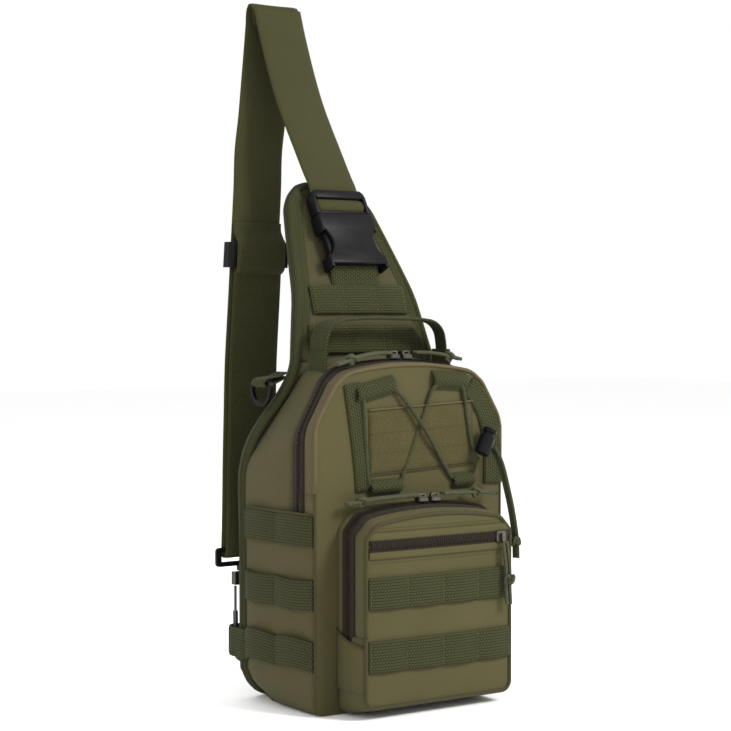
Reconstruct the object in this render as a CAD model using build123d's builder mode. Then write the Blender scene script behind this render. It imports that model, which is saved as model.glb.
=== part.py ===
from build123d import *
from math import pi, radians, tan
import os

# Sling bag: a wedge-shaped main compartment with a front pocket, a padded shoulder panel that
# carries on from the back panel, and a 50 mm strap from the panel's buckle over to a snap hook
# at the lower left corner. Millimetres: -Y is the bag's front, +X to the right of someone facing
# that front, +Z up. The origin is on the floor, under the middle of the main compartment.

# ---- driving dimensions ----
WALL = 1.6                # coated fabric with its seam tape
FRONT_Y = -44             # main compartment's front face
BACK_Y = 56               # main compartment's back face, inside the padded back
HALF_WIDTH = 97
FLAP_Z = 178              # fold line of the front flap
TOP_Z = 272               # top corners of the front face
CROWN = 8                 # rise of the top edge above its corners
FLAT_HALF = 72            # half length of the crowned top edge
ZIP_Y = -22               # middle of the main zipper
ZIP_END_Z = 162
TAPE = 8                  # width of one zipper tape
COIL = 1.2
FOLD_GAP = 0.4

POCKET_Y = -82            # pocket's front face
POCKET_HALF = 75
POCKET_TOP = 170
POCKET_ZIP_Y = -60
POCKET_FOLD_Z = 66        # fold line of the pocket's front
FRONT_ZIP_Z = 138
FRONT_ZIP_HALF = 72

PAD = 10                  # padded back and shoulder panel
PANEL_TOP = 432
BACK_LINE = [(56, 0), (56, 192), (13, 274), (28, 338), (76, 430)]
BACK_RADII = [55, 40, 90]

WEBBING = 25
WEB_THICK = 2
STRAP = 50
STRAP_THICK = 2.2
APEX = (-12, 137, 590)
STRAP_REAR = [
    (-12, 142, 590), (-28, 134, 478), (-39, 124.5, 400), (-54, 113, 280), (-66, 98, 195), (-80, 80, 118),
]
STRAP_FRONT = [(0, 66, 432), (-6, 101, 499), (-12, 132, 590)]
LAYER_GAP = 6.2           # from the strap to the layer that comes back from the hook
ADJUSTER_Z = 372

BUCKLE_Z = 384
HOOK = (-80, 78)
CORD = 3.0

os.makedirs("parts", exist_ok=True)


def save(builder, name):
    builder.part.label = name
    export_step(builder.part, f"parts/{name}.step")


def slab(x, y, z):
    """A box between two limits along each axis."""
    with BuildPart() as block:
        with Locations(((x[0] + x[1]) / 2, (y[0] + y[1]) / 2, (z[0] + z[1]) / 2)):
            Box(x[1] - x[0], y[1] - y[0], z[1] - z[0])
    return block.part


def arch(y, half, shoulder_z, corner_x, corner_z, crown, radius, top_radius, inset=0, foot=0):
    """The outline of a compartment at depth y: straight sides, rounded shoulders, crowned top."""
    with BuildSketch(Plane.XZ.offset(-y)) as outline:
        with BuildLine():
            Polyline(
                (-corner_x, corner_z), (-half, shoulder_z), (-half, foot), (half, foot),
                (half, shoulder_z), (corner_x, corner_z),
            )
            ThreePointArc((-corner_x, corner_z), (0, corner_z + crown), (corner_x, corner_z))
        make_face()
        points = outline.vertices()
        fillet(points.filter_by(lambda v: abs(v.Z - shoulder_z) < 0.01), radius)
        points = outline.vertices()
        fillet(points.filter_by(lambda v: abs(abs(v.X) - corner_x) < 0.01 and abs(v.Z - corner_z) < 0.01),
               top_radius)
        if inset:
            offset(amount=-inset, kind=Kind.INTERSECTION, mode=Mode.REPLACE)
    return outline.sketch


def before_back(reach=120, bottom=0):
    """Everything in front of the padded back, as one prism."""
    with BuildPart() as prism:
        with BuildSketch(Plane.YZ):
            with BuildLine():
                FilletPolyline(*BACK_LINE, radius=BACK_RADII)
                Polyline(BACK_LINE[-1], (-90, BACK_LINE[-1][1]), (-90, bottom), BACK_LINE[0])
            make_face()
        extrude(amount=reach, both=True)
    return prism.part


# Outlines, each one: half width, shoulder height, top corner's x and z, crown, shoulder radius,
# top corner's radius.
MAIN_FRONT = (HALF_WIDTH, 232, FLAT_HALF, TOP_Z, CROWN, 34, 24)
MAIN_REAR = (HALF_WIDTH, 185, 54, 286, 4, 40, 20)
POCKET_FRONT = (POCKET_HALF, POCKET_TOP - 27, 64, POCKET_TOP - 15, 6, 8, 10)
POCKET_REAR = (POCKET_HALF, POCKET_TOP - 20, 62, POCKET_TOP - 6, 6, 8, 10)
POCKET_FRONT_FOOT = 9     # the pocket's bottom slopes up from its rear edge to its front
POCKET_REAR_FOOT = 1


def main_front(inset, y=FRONT_Y):
    return arch(y, *MAIN_FRONT, inset)


def pocket_front(inset, y=POCKET_Y):
    return arch(y, *POCKET_FRONT, inset, POCKET_FRONT_FOOT)


def compartment(inset=0, front=FRONT_Y):
    """The main compartment's solid, smaller by inset on the sides, top, bottom and front."""
    with BuildPart() as body:
        add(main_front(inset, front + inset))
        add(arch(BACK_Y, *MAIN_REAR, inset))
        loft(ruled=True)
        add(before_back(), mode=Mode.INTERSECT)
    return body.part


def pocket(inset=0):
    """The pocket's solid, smaller by inset; its front face is lower and lifted off the floor."""
    with BuildPart() as body:
        add(arch(FRONT_Y, *POCKET_REAR, inset, POCKET_REAR_FOOT))
        add(pocket_front(inset, POCKET_Y + inset))
        loft(ruled=True)
    return body.part


def back_layer(near, far, inset, low, high):
    """A layer of the padded back between two offsets from its front line, cut to its outline."""
    with BuildPart() as layer:
        with BuildSketch(Plane.YZ):
            for amount, mode in ((far, Mode.ADD), (near, Mode.SUBTRACT)):
                if amount:
                    with BuildSketch(mode=mode):
                        with BuildLine():
                            FilletPolyline(*BACK_LINE, radius=BACK_RADII)
                            side = Side.RIGHT if amount > 0 else Side.LEFT
                            offset(amount=abs(amount), side=side, closed=True)
                        make_face()
        extrude(amount=120, both=True)
        add(panel_outline(inset, low, high), mode=Mode.INTERSECT)
    return layer.part


def panel_outline(inset, low, high):
    """The back and shoulder panel's outline as a deep prism, between two heights."""
    half = [(97, 30), (97, 205), (79, 252), (69, 297), (46, 405), (20, PANEL_TOP)]
    with BuildPart() as prism:
        with BuildSketch(Plane.XZ) as outline:
            with BuildLine():
                Polyline((-72, 2), *[(-x, z) for x, z in half], *reversed(half), (72, 2), (-72, 2))
            make_face()
            corners = outline.vertices()
            fillet(corners.filter_by(lambda v: v.Z > PANEL_TOP - 1 or abs(v.Z - 405) < 0.1), 14)
            fillet(outline.vertices().filter_by(lambda v: 200 < v.Z < 300 or v.Z < 31), 18)
            if inset:
                offset(amount=-inset, kind=Kind.INTERSECTION, mode=Mode.REPLACE)
        extrude(amount=150, both=True)
        add(slab((-120, 120), (-140, 140), (low, high)), mode=Mode.INTERSECT)
    return prism.part


def piping(outline, low, high, cut=None):
    """A cord of piping on a face's edge, between two heights."""
    band = extrude(outline(-0.8) - outline(1.6), amount=1.6, dir=(0, -1, 0))
    with BuildPart() as ring:
        add(band)
        add(slab((-120, 120), (-100, 0), (low, high)), mode=Mode.INTERSECT)
        if cut:
            add(cut, mode=Mode.SUBTRACT)
    return ring


# ---- padded back and shoulder panel ----
LAYERS = [
    ("back_lining", 0, 1.2, 5, 3, 286),
    ("back_foam", 1.2, 8.6, 5, 3, 286),
    ("shoulder_front_cover", 0, 1.2, 5, 286.4, PANEL_TOP),
    ("shoulder_foam", 1.2, 8.6, 5, 286.4, PANEL_TOP),
    ("back_cover", 8.6, PAD, 5, 3, PANEL_TOP),
]
for name, near, far, inset, low, high in LAYERS:
    with BuildPart() as layer:
        add(back_layer(near, far, inset, low, high))
    save(layer, name)

with BuildPart() as back_binding:
    add(back_layer(0, PAD, 0, 2, PANEL_TOP + 1))
    add(panel_outline(5, 1, PANEL_TOP + 2), mode=Mode.SUBTRACT)
save(back_binding, "back_binding")

# ---- main compartment ----
OUTER = compartment()
INNER = compartment(WALL)
FLAP_ZONE = slab((-120, 120), (-60, ZIP_Y), (FLAP_Z + FOLD_GAP, 300))
ZIP_BAND = slab((-120, 120), (ZIP_Y - TAPE, ZIP_Y + TAPE), (ZIP_END_Z, 300))
FRONT_TAPE_ZONE = slab((-120, 120), (ZIP_Y - TAPE, ZIP_Y - FOLD_GAP), (FLAP_Z + FOLD_GAP, 300))

with BuildPart() as main_shell:
    add(OUTER)
    add(INNER, mode=Mode.SUBTRACT)
    add(FLAP_ZONE, mode=Mode.SUBTRACT)
    add(ZIP_BAND, mode=Mode.SUBTRACT)
save(main_shell, "main_shell")

with BuildPart() as front_flap:
    add(OUTER)
    add(INNER, mode=Mode.SUBTRACT)
    add(slab((-120, 120), (-60, ZIP_Y - TAPE), (FLAP_Z + FOLD_GAP, 300)), mode=Mode.INTERSECT)
save(front_flap, "front_flap")

with BuildPart() as main_zip_rear:
    add(compartment(-COIL, FRONT_Y - 3))
    add(INNER, mode=Mode.SUBTRACT)
    add(ZIP_BAND, mode=Mode.INTERSECT)
    add(slab((-120, 120), (ZIP_Y - TAPE, ZIP_Y), (FLAP_Z, 300)), mode=Mode.SUBTRACT)
save(main_zip_rear, "main_zip_rear")

with BuildPart() as main_zip_front:
    add(compartment(-COIL, FRONT_Y - 3))
    add(INNER, mode=Mode.SUBTRACT)
    add(FRONT_TAPE_ZONE, mode=Mode.INTERSECT)
save(main_zip_front, "main_zip_front")

BEHIND_POCKET = slab((-POCKET_HALF - 2, POCKET_HALF + 2), (-50, -40), (-5, POCKET_TOP + 5))
save(piping(main_front, 2, FLAP_Z, BEHIND_POCKET), "main_piping")
save(piping(main_front, FLAP_Z + 8, 300), "flap_piping")

# ---- front pocket ----
with BuildPart() as pocket_shell:
    add(pocket())
    add(pocket(WALL), mode=Mode.SUBTRACT)
POCKET_SHELL = pocket_shell.part
POCKET_FLAP_ZONE = slab((-90, 90), (-90, POCKET_ZIP_Y), (POCKET_FOLD_Z + FOLD_GAP, 180))
POCKET_ZIP_BAND = slab((-90, 90), (POCKET_ZIP_Y - TAPE, POCKET_ZIP_Y + TAPE), (POCKET_FOLD_Z, 180))

with BuildPart() as pocket_rear:
    add(POCKET_SHELL)
    add(POCKET_FLAP_ZONE, mode=Mode.SUBTRACT)
    add(POCKET_ZIP_BAND, mode=Mode.SUBTRACT)
save(pocket_rear, "pocket_rear")

FRONT_ZIP_SLOT = slab((-FRONT_ZIP_HALF, FRONT_ZIP_HALF), (-86, -78), (FRONT_ZIP_Z - 9, FRONT_ZIP_Z + 9))
with BuildPart() as pocket_flap:
    add(POCKET_SHELL)
    add(slab((-90, 90), (-90, POCKET_ZIP_Y - TAPE), (POCKET_FOLD_Z + FOLD_GAP, 180)), mode=Mode.INTERSECT)
    add(FRONT_ZIP_SLOT, mode=Mode.SUBTRACT)
save(pocket_flap, "pocket_flap")

for name, near, far in (
    ("pocket_zip_rear", POCKET_ZIP_Y, POCKET_ZIP_Y + TAPE),
    ("pocket_zip_front", POCKET_ZIP_Y - TAPE, POCKET_ZIP_Y - FOLD_GAP),
):
    with BuildPart() as tape:
        add(pocket(-COIL))
        add(pocket(WALL), mode=Mode.SUBTRACT)
        add(slab((-90, 90), (near, far), (POCKET_FOLD_Z + FOLD_GAP, 180)), mode=Mode.INTERSECT)
    save(tape, name)

save(piping(pocket_front, 12, POCKET_FOLD_Z), "pocket_piping_lower")
save(piping(pocket_front, POCKET_FOLD_Z + 5, 180), "pocket_piping_upper")

# ---- main zipper and pocket zipper sliders ----


def slider(x, y, z):
    """A zipper slider whose bottom is at z, with the bail that a pull cord goes through."""
    with BuildPart() as body:
        with Locations((x, y, z + 1.4)):
            Box(10, 9, 2.8)
        fillet(body.edges().filter_by(Axis.Z), 2.5)
        with BuildSketch(Plane.XZ.offset(-y)):
            with Locations((x, z + 4.4)):
                RectangleRounded(8, 3.6, 1.5)
                Rectangle(4.6, 1.4, mode=Mode.SUBTRACT)
        extrude(amount=1.2, both=True)
    return body


MAIN_TOP = 284.4          # under the sliders, clear of the zipper's raised coil
POCKET_LID = 168.8
for side, x in (("left", -1), ("right", 12)):
    save(slider(x, ZIP_Y, MAIN_TOP), f"main_slider_{side}")
    save(slider(x, POCKET_ZIP_Y, POCKET_LID), f"pocket_slider_{side}")

with BuildPart() as front_zip:
    length = (-FRONT_ZIP_HALF, FRONT_ZIP_HALF)
    add(slab(length, (POCKET_Y, POCKET_Y + WALL), (FRONT_ZIP_Z - 9, FRONT_ZIP_Z + 9)))
    add(slab(length, (POCKET_Y - 1.4, POCKET_Y), (FRONT_ZIP_Z - 2.5, FRONT_ZIP_Z + 2.5)))
save(front_zip, "front_zip")

FRONT_SLIDER_X = 62
with BuildPart() as front_slider:
    add(slab((FRONT_SLIDER_X - 5, FRONT_SLIDER_X + 5), (POCKET_Y - 4.4, POCKET_Y - 1.8),
             (FRONT_ZIP_Z - 4.5, FRONT_ZIP_Z + 4.5)))
    fillet(front_slider.edges().filter_by(Axis.Y), 2)
    with BuildSketch(Plane.YZ.offset(FRONT_SLIDER_X)):
        with Locations((POCKET_Y - 5.6, FRONT_ZIP_Z - 1)):
            RectangleRounded(3.2, 7, 1.2)
            Rectangle(1.2, 4, mode=Mode.SUBTRACT)
    extrude(amount=1.2, both=True)
save(front_slider, "front_zip_slider")

# ---- webbing ----
WEB_X = HALF_WIDTH + WEB_THICK
for side, x in (("left", (-WEB_X, -HALF_WIDTH)), ("right", (HALF_WIDTH, WEB_X))):
    with BuildPart() as molle:
        for top in (160, 110, 60):
            add(slab(x, (-38, 50), (top - WEBBING, top)))
    save(molle, f"side_webbing_{side}")

for name, top in (("pocket_webbing_upper", 113), ("pocket_webbing_lower", 63)):
    with BuildPart() as molle:
        add(slab((-73, 73), (POCKET_Y - WEB_THICK, POCKET_Y), (top - WEBBING, top)))
    save(molle, name)

with BuildPart() as shoulder_webbing:
    for low in (288, 320):
        add(back_layer(0, -1.9, 6, low, low + WEBBING))
save(shoulder_webbing, "shoulder_webbing")

with BuildPart() as front_webbing:
    for x, top in ((-61, 262), (78, 248)):
        add(slab((x - 12, x + 12), (FRONT_Y - WEB_THICK, FRONT_Y), (FLAP_Z + 5, top)))
    add(compartment(3, FRONT_Y - 10), mode=Mode.INTERSECT)
save(front_webbing, "front_webbing")

with BuildPart() as loop_panel:
    add(slab((-45, 65), (FRONT_Y - 1.6, FRONT_Y), (194, 246)))
save(loop_panel, "loop_panel")

SLEEVES = [(-48, -24, 257), (24, 50, 257), (-42, -16, 182), (44, 60, 182)]
with BuildPart() as cord_sleeves:
    for low_x, high_x, z in SLEEVES:
        add(slab((low_x, high_x), (-50.4, FRONT_Y), (z, z + 11)))
        add(slab((low_x, high_x), (-49.6, -45.6), (z + 1, z + 10)), mode=Mode.SUBTRACT)
    add(front_webbing.part, mode=Mode.SUBTRACT)
    add(loop_panel.part, mode=Mode.SUBTRACT)
save(cord_sleeves, "cord_sleeves")

# ---- grab handle and side ring ----
HANDLE_Y = -2
HANDLE_TOP = 314
HANDLE_WIDTH = 20
HANDLE_THICK = 2.8
HANDLE_END = (66, 291)    # middle of each rounded end, on the axis that the handle tips about
with BuildPart() as grab_handle:
    with BuildSketch(Plane.XZ.offset(-HANDLE_Y)):
        with BuildLine():
            end_x, end_z = HANDLE_END
            FilletPolyline(
                (-end_x, end_z), (-58, HANDLE_TOP), (58, HANDLE_TOP), (end_x, end_z), radius=12,
            )
            offset(amount=HANDLE_THICK / 2, side=Side.BOTH)
        make_face()
    extrude(amount=HANDLE_WIDTH / 2, both=True)
    for side in (-1, 1):
        with BuildSketch(Plane.YZ.offset(side * end_x)):
            with Locations((HANDLE_Y, end_z)):
                Circle(HANDLE_WIDTH / 2)
        extrude(amount=HANDLE_THICK / 2, both=True)
save(grab_handle, "grab_handle")

with BuildPart() as handle_tabs:
    for side in (-1, 1):
        add(slab((side * 67 - 10, side * 67 + 10), (HANDLE_Y - 11, HANDLE_Y + 11), (255, 280.5)))
    add(OUTER, mode=Mode.SUBTRACT)
save(handle_tabs, "handle_tabs")

RING_X, RING_Y, RING_Z = -93, 36, 264
with BuildPart() as side_ring:
    with BuildSketch(Plane.YZ.offset(RING_X)):
        with BuildLine():
            Line((RING_Y - 12, RING_Z), (RING_Y + 12, RING_Z))
            ThreePointArc((RING_Y + 12, RING_Z), (RING_Y, RING_Z - 18), (RING_Y - 12, RING_Z))
        make_face()
        offset(amount=1.5)
        offset(amount=-3, mode=Mode.SUBTRACT)
    extrude(amount=1.5, both=True)
save(side_ring, "side_ring")

# ---- lacing and its lock ----


def route_tube(points, diameter, radii=None):
    """A cord: straight runs joined by tangent arcs, as large as the runs allow unless given."""
    route = [Vector(*point) for point in points]
    if radii is None:
        radii = []
        for a, b, c in zip(route, route[1:], route[2:]):
            turn = radians((b - a).get_angle(c - b))
            radii.append(0.45 * min((b - a).length, (c - b).length) / tan(turn / 2))
    with BuildPart() as tube:
        with BuildLine() as line:
            FilletPolyline(*route, radius=radii)
        with BuildSketch(Plane(origin=route[0], z_dir=route[1] - route[0])):
            Circle(diameter / 2)
        sweep()
    ideal = pi * diameter**2 / 4 * line.wires()[0].length
    print(f"cord length {line.wires()[0].length:.1f} volume ratio {tube.part.volume / ideal:.3f}",
          "radii", [round(r, 1) for r in radii])
    return tube.part


LACE = 3.4
LACE_Y = -47.7
LACE_ROUTE = [
    (61, LACE_Y, 206), (53, LACE_Y, 262), (22, LACE_Y, 262), (7, LACE_Y, 229), (-13, LACE_Y, 187),
    (-45, LACE_Y, 187), (-51, LACE_Y, 262), (-21, LACE_Y, 262), (0, LACE_Y - 4.2, 238),
    (14, LACE_Y - 4.2, 221),
    (41, LACE_Y, 187.5), (63, LACE_Y, 187.5), (64, LACE_Y, 197),
]
with BuildPart() as lacing:
    add(route_tube(LACE_ROUTE, LACE, [4, 4, 60, 4, 4, 4, 4, 12, 12, 4, 4]))
save(lacing, "lacing")

LOCK_BASE = Vector(66, -56, 204)
LOCK_AXIS = Vector(0.447, 0, 0.894)
LOCK_PLANE = Plane(origin=LOCK_BASE, x_dir=(0, 1, 0), z_dir=LOCK_AXIS)
with BuildPart() as cord_lock:
    with BuildSketch(LOCK_PLANE):
        Circle(6.5)
    extrude(amount=16)
    fillet(cord_lock.faces().sort_by(Axis.Z)[0].edges(), 1.2)
    with BuildSketch(LOCK_PLANE.offset(3)):
        Circle(5)
    extrude(amount=13, mode=Mode.SUBTRACT)
save(cord_lock, "cord_lock_body")

with BuildPart() as lock_button:
    with BuildSketch(LOCK_PLANE.offset(11)):
        Circle(4.8)
    extrude(amount=11)
    with BuildSketch(LOCK_PLANE.offset(19.5)):
        Circle(6)
    extrude(amount=3.5)
    fillet(lock_button.faces().sort_by(Axis.Z)[-1].edges(), 1)
save(lock_button, "cord_lock_button")

with BuildPart() as lock_spring:
    with BuildSketch(LOCK_PLANE.offset(3)):
        Circle(3.6)
        Circle(2.6, mode=Mode.SUBTRACT)
    extrude(amount=8)
save(lock_spring, "cord_lock_spring")

# ---- cords that hang free: two strands each, from the bail to the ends of their tails ----
PULLS = {
    "main_pull_left": [
        (-7.5, -24, 289), (-17, -27, 289.2), (-30, -29, 288.6), (-43, -32, 286.8), (-56, -34, 284.2),
        (-70, -36, 280.6),
    ],
    "main_pull_right": [
        (18.5, -24, 289), (28, -27, 289), (38, -30, 288), (48, -32, 286), (60, -33, 283.2),
    ],
    "pocket_pull_left": [
        (-7.5, -61, 174.5), (-18, -59, 174), (-32, -58, 173.5), (-46, -56.5, 173), (-60, -55, 171.8),
        (-74, -54, 170),
    ],
    "pocket_pull_right": [
        (18.5, -61, 174.5), (30, -60, 174), (43, -58.5, 173.6), (56, -58, 173.4), (68, -56.5, 172.5),
        (80, -56, 171),
    ],
    "front_pull": [
        (62, -88.6, 132.8), (62.5, -89.8, 124), (64, -90.4, 111), (63.5, -90.4, 97), (64.5, -90.6, 82),
    ],
    "lacing_tail": [
        (77.4, -55, 209), (79.8, -57, 204.5), (82, -61, 194), (81.6, -67, 179), (82.2, -72, 163),
        (82.4, -76, 147), (83.2, -78, 132), (82.6, -79, 118),
    ],
}
STRAND_STEP = {"front_pull": (4, 0, 0), "lacing_tail": (0.8, -3.6, 0)}
for name, route in PULLS.items():
    step = STRAND_STEP.get(name, (0, -3.8, -0.2))
    with BuildPart() as pull:
        for k in (0, 1):
            add(route_tube([(x + k * step[0], y + k * step[1], z + k * step[2]) for x, y, z in route], CORD))
    save(pull, name)

# ---- strap ----


def ribbon(path, width=STRAP, thick=STRAP_THICK, shift=0.0):
    """Flat webbing through level cross-sections, which keep its two faces parallel."""
    with BuildPart() as band:
        for low, high in zip(path, path[1:]):
            for x, y, z in (low, high):
                with BuildSketch(Plane.XY.offset(z)):
                    with Locations((x, y + shift)):
                        Rectangle(width, thick)
            loft(ruled=True)
    return band.part


with BuildPart() as strap_rear:
    add(ribbon(STRAP_REAR))
    add(slab((APEX[0] - 25, APEX[0] + 25), (131, 143.1), (APEX[2], APEX[2] + 3)))
    add(slab((HOOK[0] - 25, HOOK[0] + 25), (HOOK[1] - 5.3, HOOK[1] + 3.1), (116.8, 118)))
save(strap_rear, "strap_rear")

with BuildPart() as strap_front:
    add(ribbon(STRAP_FRONT))
save(strap_front, "strap_front")


def along_strap(z):
    """The middle of the strap's straight rear run at a height."""
    (x0, y0, z0), (x1, y1, z1) = STRAP_REAR[2:4]
    part = (z - z0) / (z1 - z0)
    return x0 + part * (x1 - x0), y0 + part * (y1 - y0), z


SLIDE_RUN = Vector(*STRAP_REAR[3]) - Vector(*STRAP_REAR[2])
RETURN_TOP = ADJUSTER_Z - 2
return_path = [along_strap(RETURN_TOP)] + STRAP_REAR[3:]
with BuildPart() as strap_return:
    add(ribbon(return_path, shift=-LAYER_GAP))
save(strap_return, "strap_return")

top_x, top_y, top_z = along_strap(ADJUSTER_Z + 11)
with BuildPart() as tri_glide:
    with BuildSketch(Plane.XY.offset(top_z)):
        with Locations((top_x, top_y - LAYER_GAP / 2)):
            RectangleRounded(62, 12.6, 3)
        for shift in (0, -LAYER_GAP):
            with Locations((top_x, top_y + shift)):
                Rectangle(STRAP + 1.2, STRAP_THICK + 0.9, mode=Mode.SUBTRACT)
    extrude(amount=22 * SLIDE_RUN.length / abs(SLIDE_RUN.Z), dir=SLIDE_RUN.normalized())
save(tri_glide, "tri_glide")

# ---- swivel hook and its webbing loop ----
hook_x, hook_y = HOOK
with BuildPart() as hook_frame:
    with BuildSketch(Plane.XZ.offset(-hook_y)):
        with Locations((hook_x, 117)):
            RectangleRounded(62, 16, 3)
            with Locations((0, 0.3)):
                Rectangle(52, 8.6, mode=Mode.SUBTRACT)
    extrude(amount=1.3, both=True)
    add(slab((hook_x - 7, hook_x + 7), (hook_y - 5, hook_y + 5), (104.4, 110)))
    with BuildSketch(Plane.XY.offset(110)):
        with Locations((hook_x, hook_y)):
            Circle(2.6)
    extrude(amount=-10, mode=Mode.SUBTRACT)
save(hook_frame, "hook_frame")

with BuildPart() as hook_body:
    with BuildSketch(Plane.XY.offset(108)):
        with Locations((hook_x, hook_y)):
            Circle(2.5)
    extrude(amount=-10)
    add(slab((hook_x - 13.5, hook_x + 12), (hook_y - 3, hook_y + 3), (93, 104)))
    HOOK_WIRE = [(hook_x + 10, hook_y, 94), (hook_x + 12, hook_y, 60), (hook_x + 8, hook_y, 29),
                 (hook_x - 11, hook_y, 29), (hook_x - 11.5, hook_y, 71)]
    add(route_tube(HOOK_WIRE, 4.4, [10, 8, 8]))
save(hook_body, "hook_body")

with BuildPart() as hook_gate:
    with BuildSketch(Plane.XY.offset(71.4)):
        with Locations((hook_x - 11.5, hook_y)):
            Circle(1.2)
    extrude(amount=20.6)
save(hook_gate, "hook_gate")

with BuildPart() as hook_loop:
    with BuildSketch(Plane.XY.offset(34)):
        with BuildLine():
            Line((-98.2, 51.2), (-98.2, 74))
            ThreePointArc((-98.2, 74), (-87.6, 84.6), (-77, 74))
            Line((-77, 74), (-77, 67.2))
            offset(amount=0.9, side=Side.BOTH)
        make_face()
    extrude(amount=25)
save(hook_loop, "hook_loop")

# ---- buckle ----
low_y, low_z = BACK_LINE[3]
high_y, high_z = BACK_LINE[4]
run_y = high_y - low_y
run_z = high_z - low_z
buckle_y = low_y + run_y * (BUCKLE_Z - low_z) / run_z
LEAN = Vector(0, run_y, run_z).normalized()
OUT = Vector(0, -LEAN.Z, LEAN.Y)


def panel_plane(height):
    """The shoulder panel's front, height above it: local Y runs up the panel."""
    return Plane(origin=Vector(0, buckle_y, BUCKLE_Z) + OUT * height, x_dir=(1, 0, 0), z_dir=OUT)


def panel_block(x, up, out):
    with BuildPart() as block:
        with BuildSketch(panel_plane(out[0])):
            with Locations(((x[0] + x[1]) / 2, (up[0] + up[1]) / 2)):
                RectangleRounded(x[1] - x[0], up[1] - up[0], min(x[1] - x[0], up[1] - up[0]) * 0.12)
        extrude(amount=out[1] - out[0])
    return block.part


with BuildPart() as buckle_tab:
    add(panel_block((-25, 25), (-42.4, -8), (0.1, 2.1)))
save(buckle_tab, "buckle_tab")

with BuildPart() as buckle_female:
    add(panel_block((-30, 30), (-31, 17), (2.4, 16)))
    add(panel_block((-26.6, 26.6), (-26, 30), (5.4, 13)), mode=Mode.SUBTRACT)
    add(panel_block((-40, 40), (-23, 0), (5.4, 13)), mode=Mode.SUBTRACT)
save(buckle_female, "buckle_female")

with BuildPart() as buckle_male:
    add(panel_block((-28, 28), (17.6, 41), (3.4, 15)))
    add(panel_block((-25.6, 25.6), (21, 25), (0, 20)), mode=Mode.SUBTRACT)
    add(panel_block((-25.6, 25.6), (29, 33), (0, 20)), mode=Mode.SUBTRACT)
    add(panel_block((-25, 25), (2.4, 18.4), (6, 12.4)))
    add(panel_block((-4, 4), (-20, 4), (6, 12.4)))
save(buckle_male, "buckle_male")

for side, name in ((-1, "left"), (1, "right")):
    with BuildPart() as prong:
        add(panel_block(sorted((side * 19, side * 26)), (-23, 0.8), (6, 12.4)))
    save(prong, f"buckle_prong_{name}")

with BuildPart() as grommet:
    SLOPE = Vector(0, -8, -38).normalized()
    with BuildSketch(Plane(origin=(-11, -66, 5.5), z_dir=SLOPE)):
        Circle(4.5)
        Circle(2.2, mode=Mode.SUBTRACT)
    extrude(amount=1.2)
    add(pocket(), mode=Mode.SUBTRACT)
save(grommet, "drain_grommet")

with BuildPart() as ring_tab:
    with BuildSketch(Plane.XZ.offset(-RING_Y)):
        with Locations((RING_X, RING_Z)):
            Circle(4)
            Circle(2.5, mode=Mode.SUBTRACT)
        with BuildLine():
            Polyline(
                (RING_X + 2.2, RING_Z + 3.3), (-74, RING_Z + 10), (-74, RING_Z + 7),
                (RING_X + 3.4, RING_Z + 0.6), (RING_X + 2.2, RING_Z + 3.3),
            )
        make_face()
    extrude(amount=8, both=True)
    add(OUTER, mode=Mode.SUBTRACT)
save(ring_tab, "ring_tab")
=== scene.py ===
import math

import bmesh
import bpy
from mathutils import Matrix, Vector, bvhtree, noise


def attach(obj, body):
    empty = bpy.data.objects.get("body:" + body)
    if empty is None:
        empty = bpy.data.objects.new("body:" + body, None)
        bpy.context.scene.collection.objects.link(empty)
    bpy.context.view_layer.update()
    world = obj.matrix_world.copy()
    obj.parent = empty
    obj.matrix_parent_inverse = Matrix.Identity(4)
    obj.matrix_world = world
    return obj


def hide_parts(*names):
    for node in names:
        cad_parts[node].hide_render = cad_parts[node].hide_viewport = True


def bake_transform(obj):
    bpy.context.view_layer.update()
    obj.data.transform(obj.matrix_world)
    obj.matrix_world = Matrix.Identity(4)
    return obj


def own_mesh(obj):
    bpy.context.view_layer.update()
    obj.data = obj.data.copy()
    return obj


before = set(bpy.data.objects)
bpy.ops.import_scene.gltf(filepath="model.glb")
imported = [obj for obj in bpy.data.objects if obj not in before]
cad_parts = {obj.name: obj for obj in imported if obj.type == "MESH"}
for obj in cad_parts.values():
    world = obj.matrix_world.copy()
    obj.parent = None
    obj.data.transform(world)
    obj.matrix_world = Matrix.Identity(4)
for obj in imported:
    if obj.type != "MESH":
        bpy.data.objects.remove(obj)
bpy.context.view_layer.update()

# Sizes and places below are in millimetres; meshes and curves are scaled by MM as they are made.
MM = 0.001
FRONT_Y, BACK_Y, BODY_HALF = -44.0, 56.0, 97.0
FLAP_Z, ZIP_END_Z, ZIP_Y, TAPE = 178.0, 162.0, -22.0, 8.0
POCKET_Y, POCKET_HALF = -82.0, 75.0
POCKET_ZIP_Y, POCKET_FOLD_Z, FRONT_ZIP_Z = -60.0, 66.0, 138.0
BACK_LINE = [(56, 0), (56, 192), (13, 274), (28, 338), (76, 430)]
LACE_Y = -47.7
PAD_DEPTH = 5.0  # from the padded back's front line to its middle
WEB_WIDTH, WEB_THICK = 25, 1.6  # load webbing
STRAP_WIDTH, STRAP_THICK = 50, 2.1
ROW_SLACK = 0.5  # tolerance when rows of points are picked by height
HALF_ZIP_GAP = 0.9  # from a zipper's centre line to the inner edge of its tape
POCKET_TACKS, SIDE_TACKS = (-71.5, -36.5, 0, 36.5, 71.5), (-40.5, 5.5, 50)
COIL_SHIFT = 0.75  # from a zipper's centre line to the middle of one coil
CORD_DIAMETER = 3.0


# ---------------------------------------------------------------- camera, floor and light
def aim(obj, target):
    obj.rotation_euler = (Vector(target) - obj.location).to_track_quat("-Z", "Y").to_euler()


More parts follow.
